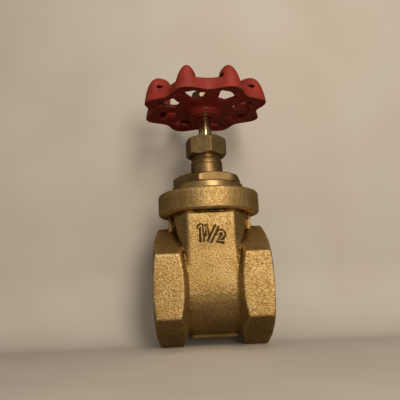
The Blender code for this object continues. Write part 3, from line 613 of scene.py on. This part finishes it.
def grain(tree, size, detail=2.0, place=None, rough=0.5):
    """Noise from 0 to 1 whose lumps are about a given length across."""
    node = tree.nodes.new("ShaderNodeTexNoise")
    node.inputs["Scale"].default_value = 1 / size
    node.inputs["Detail"].default_value = detail
    node.inputs["Roughness"].default_value = rough
    tree.links.new(place or object_place(tree), node.inputs["Vector"])
    return Field(tree, node.outputs[0])


def turning_marks(tree, size, detail):
    """Noise that stays the same all the way round the Z axis, as a lathe tool leaves it."""
    x, y, z = separate(tree, object_place(tree))
    radius = (x * x + y * y).math("SQRT")
    return grain(tree, size, detail, combined(tree, radius, 0.0, z))


def tones(tree, shader, factor, *stops):
    """Run the base colour through (position, colour) stops by a factor."""
    node = tree.nodes.new("ShaderNodeValToRGB")
    ramp = node.color_ramp
    while len(ramp.elements) < len(stops):
        ramp.elements.new(0.5)
    for element, (position, colour) in zip(ramp.elements, stops):
        element.position = position
        element.color = (*colour, 1)
    tree.links.new(factor.socket, node.inputs[0])
    tree.links.new(node.outputs[0], shader.inputs["Base Color"])


def relief(tree, shader, height, depth, strength=1.0):
    """Bump the shader's surface by a height from 0 to 1."""
    node = tree.nodes.new("ShaderNodeBump")
    node.inputs["Strength"].default_value = strength
    node.inputs["Distance"].default_value = depth
    tree.links.new(height.socket, node.inputs["Height"])
    tree.links.new(node.outputs[0], shader.inputs["Normal"])


def edges_and_hollows(tree):
    """Above a half on edges that stick out, and below it in corners."""
    return Field(tree, tree.nodes.new("ShaderNodeNewGeometry").outputs["Pointiness"])


def shelter(tree, distance):
    """1 in the open, towards 0 where the piece's own walls are close by."""
    node = tree.nodes.new("ShaderNodeAmbientOcclusion")
    node.only_local = True
    node.samples = 8
    node.inputs["Distance"].default_value = distance
    return Field(tree, node.outputs["AO"])


def cast_brass():
    """Sand-cast and shot-blasted brass: a fine bright grain, pitted, with painted shade in corners
    and hollows and lighter sharp edges.
    """
    material, tree, shader = new_finish("cast_brass", (0.6, 0.42, 0.19), 0.45)
    fine = grain(tree, 0.75 * MM, 2.5, rough=0.65)
    broad = grain(tree, 9 * MM, 2.0)
    pits = ((grain(tree, 1.1 * MM, 1.0) - 0.70) * 12).clamped()
    # painted shade in small hollows and lighter tone on sharp edges, from the mesh's pointiness
    shape = ((edges_and_hollows(tree) - 0.5) * 6).math("MAXIMUM", -0.5).math("MINIMUM", 0.35)
    # painted shade: darker where the piece's own walls close in round a point (ambient occlusion)
    painted_shade = ((1 - shelter(tree, 5 * MM)) * 1.5 - 0.15).clamped()
    factor = (fine - 0.5) * 1.5 + (broad - 0.5) * 0.5 + shape - painted_shade - pits * 0.25 + 0.5
    tones(
        tree,
        shader,
        factor.clamped(),
        (0.0, (0.08, 0.036, 0.008)),
        (0.2, (0.33, 0.185, 0.052)),
        (0.45, (0.52, 0.335, 0.12)),
        (0.75, (0.70, 0.49, 0.215)),
        (1.0, (0.95, 0.77, 0.43)),
    )
    tree.links.new((0.52 - (fine - 0.5) * 0.3).socket, shader.inputs["Roughness"])
    relief(tree, shader, fine + grain(tree, 0.4 * MM, 1.0) * 0.5 - pits * 0.3, 0.22 * MM)
    return material


def lathe_brass(name, colour, dark, roughness, depth=0.012 * MM):
    """Brass off the lathe: faint rings of a given depth, with stains over them."""
    material, tree, shader = new_finish(name, colour, roughness)
    marks = turning_marks(tree, 0.28 * MM, 3.0)
    stain = grain(tree, 3.5 * MM, 3.0)
    fine = grain(tree, 0.5 * MM, 2.0)
    factor = (stain - 0.5) * 1.3 + (marks - 0.5) * 0.8 + (fine - 0.5) * 0.5 + 0.62
    tones(tree, shader, factor.clamped(), (0.0, dark), (0.8, colour), (1.0, colour))
    tree.links.new((roughness + (stain - 0.5) * 0.22).socket, shader.inputs["Roughness"])
    relief(tree, shader, marks + fine * 0.6, depth)
    return material


def red_paint():
    """Thick red enamel, dulled in places, with lighter dusty edges that are partly rubbed-thin
    paint and partly painted bounce light.
    """
    material, tree, shader = new_finish("red_paint", (0.30, 0.026, 0.018), 0.34, 0.0)
    broad = grain(tree, 7 * MM, 3.0)
    dust = grain(tree, 1.1 * MM, 3.0, rough=0.7)
    edge = ((edges_and_hollows(tree) - 0.515) * 18).clamped()
    # lighter, dustier edges: partly rubbed paint, partly painted bounce light on the rim's lower
    # lip
    worn_and_bounce_lit = ((edge * (dust + 0.2) * 1.8 - 0.5) * 3).clamped()
    tones(
        tree,
        shader,
        ((broad - 0.5) * 0.8 + (dust - 0.5) * 0.4 + 0.55 - worn_and_bounce_lit * 0.8).clamped(),
        # dusty pink-brown of the rubbed and bounce-lit edges
        (0.0, (0.24, 0.10, 0.065)),
        (0.18, (0.23, 0.021, 0.014)),
        (0.6, (0.38, 0.036, 0.022)),
        (1.0, (0.48, 0.055, 0.034)),
    )
    shader.inputs["Specular IOR Level"].default_value = 0.3
    shader.inputs["Coat Weight"].default_value = 0.12
    shader.inputs["Coat Roughness"].default_value = 0.12
    tree.links.new((0.55 + (dust - 0.5) * 0.3).socket, shader.inputs["Roughness"])
    relief(tree, shader, broad + dust * 0.15, 0.5 * MM, 0.5)
    return material


def plain_grain(name, colour, dark, roughness, size, depth, metallic=0.0):
    """A finish for a small part: two tones of one grain."""
    material, tree, shader = new_finish(name, colour, roughness, metallic)
    lumps = grain(tree, size, 3.0)
    tones(tree, shader, lumps, (0.3, dark), (0.7, colour))
    relief(tree, shader, lumps, depth)
    return material


FINISH = {
    "cast_brass": cast_brass(),
    "turned_brass": lathe_brass("turned_brass", (0.54, 0.355, 0.155), (0.27, 0.155, 0.055), 0.42),
    "bonnet_brass": lathe_brass(
        "bonnet_brass", (0.36, 0.23, 0.098), (0.16, 0.09, 0.035), 0.46, 0.03 * MM
    ),
    "nut_brass": lathe_brass(
        "nut_brass", (0.52, 0.355, 0.15), (0.22, 0.13, 0.045), 0.4, 0.03 * MM
    ),
    "polished_brass": lathe_brass(
        "polished_brass", (0.78, 0.62, 0.33), (0.64, 0.49, 0.24), 0.2, 0.004 * MM
    ),
    "red_paint": red_paint(),
    "gasket_fibre": plain_grain(
        "gasket_fibre", (0.30, 0.10, 0.06), (0.16, 0.05, 0.03), 0.8, 0.4 * MM, 0.05 * MM
    ),
    "graphite_packing": plain_grain(
        "graphite_packing", (0.07, 0.07, 0.075), (0.02, 0.02, 0.022), 0.6, 0.5 * MM, 0.1 * MM
    ),
    "plated_steel": plain_grain(
        "plated_steel", (0.36, 0.31, 0.20), (0.14, 0.11, 0.06), 0.4, 1.2 * MM, 0.03 * MM, 1.0
    ),
    # dark painted shade round the numerals' ridges
    "numeral_shade_band": plain_grain(
        "numeral_shade_band", (0.15, 0.075, 0.018), (0.08, 0.036, 0.008), 0.6, 0.5 * MM, 0.05 * MM, 0.9
    ),
}


# --- Body pieces -----------------------------------------------------------------------------
def chamber_share(place):
    """1 on the chamber between the hexagons, falling to 0 beside and above it."""
    across = (CHAMBER_REACH - abs(place.x)) / MM
    return max(0.0, min(1.0, across, (CHAMBER_TOP - place.z) / MM))


def shoulder_fillet(x_side, y_side):
    """Fills the narrow slot between the flare's lower corner and a hexagon's sloping end."""
    rings = []
    for height, corner, depth in FILLET_STATIONS:
        section = (*FILLET_ROOT, (corner, depth), (corner, FILLET_BACK))
        rings.append([(x_side * x * MM, y_side * y * MM, height * MM) for x, y in section])
    return lofted("shoulder_fillet", rings)


def make_casting():
    """The CAD body with rounded cast edges and sockets opened for their threads."""
    along_x = Matrix.Rotation(math.radians(90), 4, "Y")
    corners = [(x, y) for x in (-1, 1) for y in (-1, 1)]
    steps = [("UNION", shoulder_fillet(x, y)) for x, y in corners]
    for side in (-1, 1):
        floor = side * (END_FACE - SOCKET_DEPTH)
        beyond = side * (END_FACE + 2 * MM)
        bore = [(0, floor), (SOCKET_BORE, floor), (SOCKET_BORE, beyond), (0, beyond)]
        trim_from = side * (END_FACE - END_TRIM)
        trim = [(0, trim_from), (60 * MM, trim_from), (60 * MM, beyond), (0, beyond)]
        bore = turned("socket_bore", bore, closed=True, place=along_x)
        trim = turned("end_trim", trim, segments=24, closed=True, place=along_x)
        steps += [("DIFFERENCE", bore), ("DIFFERENCE", trim)]
    mesh = shaped(
        "casting", cad_copy("valve_body"), *steps, cell=CAST_CELL, rounding=CAST_ROUNDING
    )
    mesh = eased("casting", mesh, chamber_share, CHAMBER_ROUNDING)
    piece("body_casting", mesh, FINISH["cast_brass"], "valve_body", "cast_brass", "valve_body")


def make_ring():
    """The round rim under the bonnet, crisper than the rest of the casting."""
    low, high = RING_TOP - RING_HEIGHT - RING_SKIN, RING_TOP + RING_SKIN
    outer, inner = RING_RADIUS + RING_SKIN, RING_RADIUS - RING_DEPTH
    outline = [
        (inner, low, 0),
        (outer - RING_BEVEL, low, 0.5 * MM),
        (outer, low + RING_BEVEL, 0.7 * MM),
        (outer, high - 1.0 * MM, 0.5 * MM),
        (outer - RING_BEVEL, high, 0.5 * MM),
        (inner, high, 0),
    ]
    ring = turned("body_ring", softened(outline, closed=True), segments=144, closed=True)
    piece("body_ring", ring, FINISH["cast_brass"], "valve_body", "cast_brass")


def make_socket_liner(tag, side):
    """The machined end face and the pipe thread inside it."""
    inner = END_FACE - SOCKET_DEPTH - 0.4 * MM
    back = SOCKET_BORE + LINER_WALL
    wall = divided(
        [(SOCKET_CREST, inner + 0.3 * MM), (SOCKET_CREST, END_FACE - 1.0 * MM)], SOCKET_PITCH / 9
    )
    outline = [
        Vector((back, inner)),
        Vector((SOCKET_CREST + 0.6 * MM, inner)),
        *wall,
        Vector((SOCKET_ROOT + 0.4 * MM, END_FACE)),
        Vector((END_FACE_RADIUS - 0.3 * MM, END_FACE)),
        Vector((END_FACE_RADIUS, END_FACE - 0.35 * MM)),
        Vector((back, END_FACE - 0.6 * MM)),
    ]
    blank = turned("socket_liner", outline, segments=120, closed=True)
    sizes = {
        "Surface": SOCKET_CREST,
        "Depth": SOCKET_CREST - SOCKET_ROOT,
        "Pitch": SOCKET_PITCH,
        "Low": inner,
        "High": END_FACE,
        "Hand": 1.0,
    }
    mesh = grown("socket_thread", SCREW_THREAD, sizes, blank, FINISH["turned_brass"])
    turn = math.radians(90 if side > 0 else -90)
    mesh.transform(Matrix.Rotation(turn, 4, "Y"))
    piece(f"turned_end_{tag}", mesh, FINISH["turned_brass"], "valve_body", "turned_brass")


def arc(centre, radius, start, end, steps):
    """Points on an arc, in degrees from +X."""
    angles = [math.radians(start + (end - start) * k / steps) for k in range(steps + 1)]
    return [(centre[0] + radius * math.cos(a), centre[1] + radius * math.sin(a)) for a in angles]


def numeral_strokes():
    """The pipe size one and a half, as strokes of (across, up) points in millimetres."""
    top, foot = NUMERAL_TOP, NUMERAL_FOOT
    one = [(-6.7, 28.4), (-5.5, top), (-5.1, top), (-4.8, foot + 0.2)]
    small_one = [(-2.9, 29.0), (-2.4, 29.5), (-2.2, 24.4)]
    slash = [(3.1, top), (-1.3, foot)]
    bowl = arc((4.6, 24.9), 1.4, 190, -30, 12)
    two = [*bowl, (3.3, foot + 0.3), (6.4, foot + 0.2)]
    return [one, small_one, slash, two]


def stroke_mesh(name, strokes, width, proud):
    """Ridges of a given half width along the strokes, standing proud of the pad's face."""
    curve = bpy.data.curves.new(name, "CURVE")
    curve.dimensions = "3D"
    curve.bevel_depth = width
    curve.bevel_resolution = 4
    curve.use_fill_caps = True
    for stroke in strokes:
        spline = curve.splines.new("POLY")
        spline.points.add(len(stroke) - 1)
        for point, (x, z) in zip(spline.points, stroke):
            point.co = (x * MM, 0, z * MM, 1)
    mesh = baked(linked(name, curve))
    flatten = Matrix.Scale(proud / width, 4, (0, 1, 0))
    mesh.transform(Matrix.Translation((0, -PAD_FACE, 0)) @ flatten)
    return tidied(mesh)


def make_numerals():
    """The raised pipe size, each ridge on a dark band of painted shade."""
    strokes = numeral_strokes()
    # a dark band of painted shade round each ridge, where the shadow of the raised stroke falls
    shade_band = stroke_mesh("size_numeral_shade_band", strokes, SHADE_BAND_STROKE, SHADE_BAND_PROUD)
    piece("size_numeral_shade_band", shade_band, FINISH["numeral_shade_band"], "valve_body", "cast_brass")
    ridge = stroke_mesh("size_numerals", strokes, NUMERAL_STROKE, NUMERAL_PROUD)
    piece("size_numerals", ridge, FINISH["cast_brass"], "valve_body", "cast_brass")


# --- Bonnet and packing nut ------------------------------------------------------------------
def make_bonnet():
    """The turned bonnet above the ring, with six flats milled on its shoulder."""
    collar_top = RING_TOP + COLLAR_HEIGHT
    hex_top = collar_top + BONNET_HEX_HEIGHT
    neck_top = NUT_LOW.z - NECK_GAP
    relief_top = neck_top + RELIEF_HEIGHT
    flat = BONNET_HEX_FLATS / 2
    corner = BONNET_HEX_FLATS / math.sqrt(3) - 0.3 * MM
    lip = 0.6 * MM
    outline = [
        (STEM_RADIUS + 2 * MM, BONNET_HIGH.z, 0),
        (GLAND_THREAD_RADIUS - lip, BONNET_HIGH.z, 0.2 * MM),
        (GLAND_THREAD_RADIUS, BONNET_HIGH.z - lip, 0.2 * MM),
        (GLAND_THREAD_RADIUS, relief_top, 0.2 * MM),
        (RELIEF_RADIUS, relief_top - 0.2 * MM, 0.2 * MM),
        (RELIEF_RADIUS, neck_top, 0.3 * MM),
        (NECK_RADIUS - 1.0 * MM, neck_top, 0.6 * MM),
        (NECK_RADIUS - 0.2 * MM, neck_top - 2.2 * MM, 1.4 * MM),
        (NECK_RADIUS, hex_top, 0.7 * MM),
        (flat - 0.6 * MM, hex_top, 0.3 * MM),
        (corner, hex_top - 1.5 * MM, 0.4 * MM),
        (corner, collar_top + CORE_SKIN, 0.1 * MM),
    ]
    points = divided(softened(outline), FACET_PITCH) + [Vector((8 * MM, collar_top))]
    blank = turned("bonnet_shoulder", points, segments=120, closed=True)
    sizes = {
        "Flats": BONNET_HEX_FLATS,
        "Low": collar_top - MM,
        "High": hex_top + 0.01 * MM,
        "Softness": 0.35 * MM,
    }
    shoulder = grown("bonnet_hexagon", MILLED_HEXAGON, sizes, blank, FINISH["bonnet_brass"])
    shoulder.transform(Matrix.Rotation(BONNET_HEX_TURN, 4, "Z"))
    outline = [
        (COLLAR_INNER, collar_top, 0),
        (COLLAR_RADIUS - 0.7 * MM, collar_top, 0.3 * MM),
        (COLLAR_RADIUS, collar_top - 0.8 * MM, 0.3 * MM),
        (COLLAR_RADIUS, RING_TOP - COLLAR_SEAT, 0.1 * MM),
        (COLLAR_INNER, RING_TOP - COLLAR_SEAT, 0),
    ]
    collar = softened(outline, closed=True)
    collar = turned("bonnet_collar", collar, segments=120, closed=True)
    low, step, high = RING_TOP + CORE_SKIN, collar_top - CORE_SKIN, BONNET_HIGH.z + MM
    inner, waist, beyond = NECK_RADIUS - 0.15 * MM, COLLAR_INNER + 0.5 * MM, 30 * MM
    sleeve = [
        (waist, low),
        (beyond, low),
        (beyond, high),
        (inner, high),
        (inner, step),
        (waist, step),
    ]
    cut = ("DIFFERENCE", turned("bonnet_sleeve", sleeve, segments=48, closed=True))
    core = shaped("bonnet_core", cad_copy("bonnet"), cut)
    piece("bonnet_core", core, FINISH["turned_brass"], "valve_body", "turned_brass", "bonnet")
    piece("bonnet_shoulder", shoulder, FINISH["bonnet_brass"], "valve_body", "turned_brass")
    piece("bonnet_collar", collar, FINISH["turned_brass"], "valve_body", "turned_brass")


def hexagon_nut(name, node, low, high, flats, bore, turn, bevel, finish, body):
    """A nut in place of a CAD node, with its corners turned to arcs at both ends."""
    corner = flats / math.sqrt(3) - 0.12 * MM
    flat = flats / 2
    outline = [
        (bore, low, 0.2 * MM),
        (flat - 0.1 * MM, low, 0.25 * MM),
        (corner, low + bevel, 0.25 * MM),
        (corner, high - bevel, 0.25 * MM),
        (flat - 0.1 * MM, high, 0.25 * MM),
        (bore, high, 0.2 * MM),
    ]
    points = divided(softened(outline, closed=True), FACET_PITCH)
    blank = turned(name, points, segments=120, closed=True)
    sizes = {"Flats": flats, "Low": -1.0, "High": 1.0, "Softness": 0.25 * MM}
    mesh = grown(name, MILLED_HEXAGON, sizes, blank, FINISH[finish])
    mesh.transform(Matrix.Rotation(turn, 4, "Z"))
    piece(name, mesh, FINISH[finish], body, finish, node)


def make_nuts():
    """The packing nut, and the wheel's nut and washer."""
    hexagon_nut(
        "gland_nut",
        "packing_nut",
        NUT_LOW.z,
        NUT_HIGH.z,
        flats=NUT_FLATS,
        bore=STEM_RADIUS + 0.15 * MM,
        turn=NUT_TURN,
        bevel=NUT_BEVEL,
        finish="nut_brass",
        body="valve_body",
    )
    hexagon_nut(
        "wheel_locknut",
        "wheel_nut",
        WHEEL_NUT_LOW.z,
        WHEEL_NUT_HIGH.z,
        flats=LOCKNUT_FLATS,
        bore=LOCKNUT_BORE,
        turn=LOCKNUT_TURN,
        bevel=LOCKNUT_BEVEL,
        finish="plated_steel",
        body="spindle",
    )
    plan = (
        (WASHER_INNER, WASHER_LOW.z),
        (WASHER_OUTER, WASHER_LOW.z),
        (WASHER_OUTER, WASHER_HIGH.z),
        (WASHER_INNER, WASHER_HIGH.z),
    )
    outline = softened([(radius, height, 0.2 * MM) for radius, height in plan], closed=True)
    washer = turned("wheel_flat_washer", outline, closed=True)
    finish = FINISH["plated_steel"]
    piece("wheel_flat_washer", washer, finish, "spindle", "plated_steel", "wheel_washer")


def make_stem():
    """The whole spindle: lifting thread, thrust collar, bright stem and threaded tip."""
    low, top = WASHER_HIGH.z, SPINDLE_HIGH.z
    cut_low, cut_high, beyond = low + 0.2 * MM, top + MM, 10 * MM
    tip = [(0, cut_low), (beyond, cut_low), (beyond, cut_high), (0, cut_high)]
    cut = ("DIFFERENCE", turned("tip_cutter", tip, segments=24))
    core = shaped("spindle_core", cad_copy("spindle"), cut)
    piece("spindle_core", core, FINISH["polished_brass"], "spindle", "polished_brass", "spindle")
    bevel = 0.5 * MM
    wall = divided([(TIP_CREST, low), (TIP_CREST, top - bevel)], 0.11 * MM)
    outline = [Vector((0, low)), *wall, Vector((TIP_CREST - bevel, top)), Vector((0, top))]
    blank = turned("stem_tip", outline, segments=64)
    sizes = {
        "Surface": TIP_CREST,
        "Depth": TIP_DEPTH,
        "Pitch": TIP_PITCH,
        "Low": low - MM,
        "High": top + 0.3 * MM,
        "Hand": 1.0,
    }
    mesh = grown("stem_tip_thread", SCREW_THREAD, sizes, blank, FINISH["bonnet_brass"])
    piece("stem_tip_thread", mesh, FINISH["bonnet_brass"], "spindle", "turned_brass")
    low, high = NUT_HIGH.z - 3 * MM, WHEEL_LOW.z + 1.7 * MM
    radius = STEM_RADIUS + STEM_SKIN
    outline = [(0, low, 0), (radius, low, 0), (radius, high, 0.1 * MM), (0, high, 0)]
    barrel = turned("stem_barrel", softened(outline))
    piece("stem_barrel", barrel, FINISH["polished_brass"], "spindle", "polished_brass")


# --- Handwheel pieces ------------------------------------------------------------------------
def wheel_window():
    """One opening in the web, middle towards -Y."""
    steps = 8
    outline = []
    spans = ((WINDOW_INNER, WINDOW_INNER_SPAN, 1), (WINDOW_OUTER, WINDOW_OUTER_SPAN, -1))
    for radius, span, order in spans:
        for k in range(steps + 1):
            angle = order * span * (k / steps - 0.5)
            outline.append((radius * math.sin(angle), -radius * math.cos(angle)))
    heights = (RIM_EDGE - WINDOW_REACH, RIM_EDGE + WINDOW_REACH)
    return lofted("wheel_window", [[(x, y, z) for x, y in outline] for z in heights])


def hump_recess():
    """One small eye-shaped recess in a hump's flank, middle towards -Y."""
    bm = bmesh.new()
    place = Matrix.Translation((0, -RECESS_RADIUS, RIM_EDGE + RECESS_HEIGHT))
    size = Matrix.Diagonal((*RECESS_SIZE, 1))
    bmesh.ops.create_uvsphere(bm, u_segments=16, v_segments=10, radius=1, matrix=place @ size)
    return mesh_of("hump_recess", bm)


def wheel_middle():
    """Hub, neck and sloping web in one turned shape with a hole for the stem."""
    bore = STEM_RADIUS + 0.3 * MM
    low, high = WHEEL_LOW.z, WASHER_LOW.z - 0.3 * MM
    outline = [
        (bore, low, 0),
        (9.8 * MM, low, 0.3 * MM),
        (10.0 * MM, low + 0.7 * MM, 0.3 * MM),
        (9.2 * MM, low + 1.4 * MM, 0.6 * MM),
        (9.3 * MM, low + 4.0 * MM, 1.6 * MM),
        (20.0 * MM, low + 4.4 * MM, 2.0 * MM),
        (28.5 * MM, low + 5.1 * MM, 1.0 * MM),
        (WEB_REACH, low + 5.1 * MM, 0.2 * MM),
        (WEB_REACH, low + 7.3 * MM, 0.2 * MM),
        (28.5 * MM, low + 7.3 * MM, 1.0 * MM),
        (20.0 * MM, low + 6.6 * MM, 2.0 * MM),
        (9.6 * MM, low + 6.2 * MM, 1.2 * MM),
        (8.6 * MM, high, 0.6 * MM),
        (bore, high, 0),
    ]
    outline = softened(outline, closed=True, steps=4)
    return turned("wheel_middle", outline, segments=128, closed=True)


def web_limit():
    """A prism whose plan follows the middle of the rim's wall."""
    count = 16 * LOBES
    outline = []
    for k in range(count):
        angle = 2 * math.pi * k / count
        lobe = (1 - math.cos(LOBES * (angle - LOBE_TURN))) / 2
        radius = VALLEY_RADIUS + (LOBE_RADIUS - VALLEY_RADIUS) * lobe - RIM_WALL / 2
        outline.append((radius * math.sin(angle), -radius * math.cos(angle)))
    heights = (WHEEL_LOW.z - 2 * MM, WHEEL_HIGH.z)
    return lofted("web_limit", [[(x, y, z) for x, y in outline] for z in heights])


def make_handwheel():
    """The whole painted casting: rim, web with its windows, hub, and the humps' recesses."""
    rim = grown("wheel_rim", LOBED_RIM, {}, None, FINISH["red_paint"])
    window = wheel_window()
    sizes = {"Count": WINDOWS, "Turn": WINDOW_TURN}
    windows = grown("wheel_windows", RING_OF_COPIES, sizes, window)
    cuts = [("INTERSECT", web_limit()), ("DIFFERENCE", windows)]
    middle = shaped("wheel_middle", wheel_middle(), *cuts)
    steps = []
    for side in (-1, 1):
        sizes = {"Count": LOBES, "Turn": LOBE_TURN + math.pi / LOBES + side * RECESS_TURN}
        recesses = grown("hump_recesses", RING_OF_COPIES, sizes, hump_recess())
        steps.append(("DIFFERENCE", recesses))
    steps.append(("UNION", middle))  # last, because the recesses cut a plain rim more cleanly
    mesh = shaped("wheel", rim, *steps, cell=WHEEL_CELL, rounding=WHEEL_ROUNDING)
    piece("wheel_casting", mesh, FINISH["red_paint"], "spindle", "red_paint", "handwheel")


# --- CAD nodes that stay as they are ---------------------------------------------------------
def finish_inner_nodes():
    """Give each carried-over CAD node the finish of its kind."""
    kinds = {
        "turned_brass": (
            "seat_ring_left",
            "seat_ring_right",
            "wedge_gate",
            "spindle_retainer",
            "packing_washer",
            "gland_follower",
        ),
        "gasket_fibre": ("bonnet_gasket", "thrust_washer_lower", "thrust_washer_upper"),
        "graphite_packing": (
            "packing_ring_lower",
            "packing_ring_middle",
            "packing_ring_upper",
        ),
    }
    for finish, names in kinds.items():
        for name in names:
            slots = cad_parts[name].data.materials
            slots.clear()
            slots.append(FINISH[finish])


# --- Stage, lights and camera ----------------------------------------------------------------
def backdrop_finish():
    """Pale matt paper, seen from its lit side only, that throws less light back than it shows."""
    material = bpy.data.materials.new("backdrop_paper")
    material.use_nodes = True
    tree = material.node_tree
    shader = tree.nodes["Principled BSDF"]
    shader.inputs["Roughness"].default_value = 0.9
    shader.inputs["Specular IOR Level"].default_value = 0.1
    tones(
        tree,
        shader,
        grain(tree, 60 * MM, 2.0),
        (0.3, (0.78, 0.70, 0.61)),
        (0.7, (0.85, 0.78, 0.69)),
    )
    shade = tree.nodes.new("ShaderNodeBsdfDiffuse")
    height = separate(tree, object_place(tree))[2]
    height = ((height - BODY_LOW.z) / (60 * MM)).clamped()
    bounce = tree.nodes.new("ShaderNodeValToRGB")
    bounce.color_ramp.elements[0].color = (0.25, 0.22, 0.18, 1)
    bounce.color_ramp.elements[1].color = (0.14, 0.12, 0.10, 1)
    tree.links.new(height.socket, bounce.inputs[0])
    tree.links.new(bounce.outputs[0], shade.inputs["Color"])
    rays = tree.nodes.new("ShaderNodeLightPath")
    seen = tree.nodes.new("ShaderNodeMixShader")
    tree.links.new(rays.outputs["Is Camera Ray"], seen.inputs[0])
    tree.links.new(shade.outputs[0], seen.inputs[1])
    tree.links.new(shader.outputs[0], seen.inputs[2])
    back = tree.nodes.new("ShaderNodeNewGeometry").outputs["Backfacing"]
    clear = tree.nodes.new("ShaderNodeBsdfTransparent")
    mix = tree.nodes.new("ShaderNodeMixShader")
    tree.links.new(back, mix.inputs[0])
    tree.links.new(seen.outputs[0], mix.inputs[1])
    tree.links.new(clear.outputs[0], mix.inputs[2])
    tree.links.new(mix.outputs[0], tree.nodes["Material Output"].inputs["Surface"])
    return material


def make_stage():
    """A floor that curves up into a wall behind the valve."""
    floor = BODY_LOW.z - 0.2 * MM
    front = STAGE_WALL - STAGE_BEND
    steps = 24
    path = [(-STAGE_REACH, floor)]
    for k in range(steps + 1):
        angle = math.pi / 2 * k / steps
        back, up = math.sin(angle), 1 - math.cos(angle)
        path.append((front + STAGE_BEND * back, floor + STAGE_BEND * up))
    path.append((STAGE_WALL, floor + STAGE_REACH))
    bm = bmesh.new()
    rows = [[bm.verts.new((x, y, z)) for x in (-STAGE_REACH, STAGE_REACH)] for y, z in path]
    for low, high in zip(rows, rows[1:]):
        bm.faces.new((low[0], low[1], high[1], high[0]))
    mesh = bpy.data.meshes.new("backdrop")
    bm.to_mesh(mesh)
    bm.free()
    mesh.shade_smooth()
    mesh.materials.append(backdrop_finish())
    backdrop = linked("backdrop", mesh)


def add_lamp(name, place, aim, size, power, colour):
    """A soft rectangular lamp that looks at a point."""
    lamp = bpy.data.lights.new(name, "AREA")
    lamp.shape = "RECTANGLE"
    lamp.size, lamp.size_y = size
    lamp.energy = power
    lamp.color = colour
    thing = linked(name, lamp)
    thing.location = place
    thing.rotation_euler = (Vector(aim) - Vector(place)).to_track_quat("-Z", "Y").to_euler()


def make_lights():
    """A soft key from the front, a weaker lamp above and a dim surround."""
    middle = (0, 0, 45 * MM)
    warm = (1.0, 0.90, 0.76)
    add_lamp("key", (0.125, -0.485, 0.18), middle, (0.12, 0.38), 1.4, warm)
    add_lamp("top", (0.06, -0.22, 0.50), middle, (0.30, 0.30), 0.25, warm)
    world = bpy.data.worlds.new("studio")
    bpy.context.scene.world = world
    world.use_nodes = True
    tree = world.node_tree
    soft = tree.nodes["Background"]
    soft.inputs["Color"].default_value = (1.0, 0.92, 0.80, 1)
    soft.inputs["Strength"].default_value = 0.23
    pale = tree.nodes.new("ShaderNodeBackground")
    pale.inputs["Color"].default_value = (1.0, 0.85, 0.70, 1)
    pale.inputs["Strength"].default_value = 0.45
    rays = tree.nodes.new("ShaderNodeLightPath")
    mix = tree.nodes.new("ShaderNodeMixShader")
    tree.links.new(rays.outputs["Is Camera Ray"], mix.inputs[0])
    tree.links.new(soft.outputs[0], mix.inputs[1])
    tree.links.new(pale.outputs[0], mix.inputs[2])
    tree.links.new(mix.outputs[0], tree.nodes["World Output"].inputs["Surface"])


def make_camera():
    """The camera, a little below the valve's middle and looking slightly up."""
    lens = bpy.data.cameras.new("camera")
    lens.sensor_width = SENSOR
    lens.lens = LENS
    lens.clip_start = 0.01
    camera = linked("camera", lens)
    yaw = Matrix.Rotation(CAMERA_YAW, 4, "Z")
    pitch = Matrix.Rotation(CAMERA_PITCH, 4, "X")
    roll = Matrix.Rotation(CAMERA_ROLL, 4, "Y")
    stand = Matrix.Translation(CAMERA_PLACE)
    level = Matrix.Rotation(math.radians(90), 4, "X")
    camera.matrix_world = stand @ yaw @ pitch @ roll @ level
    bpy.context.scene.camera = camera
    bpy.context.scene.view_settings.view_transform = "Standard"


make_casting()
make_ring()
for tag, side in (("left", -1), ("right", 1)):
    make_socket_liner(tag, side)
make_numerals()
make_bonnet()
make_nuts()
make_stem()
make_handwheel()
finish_inner_nodes()
make_stage()
make_lights()
make_camera()
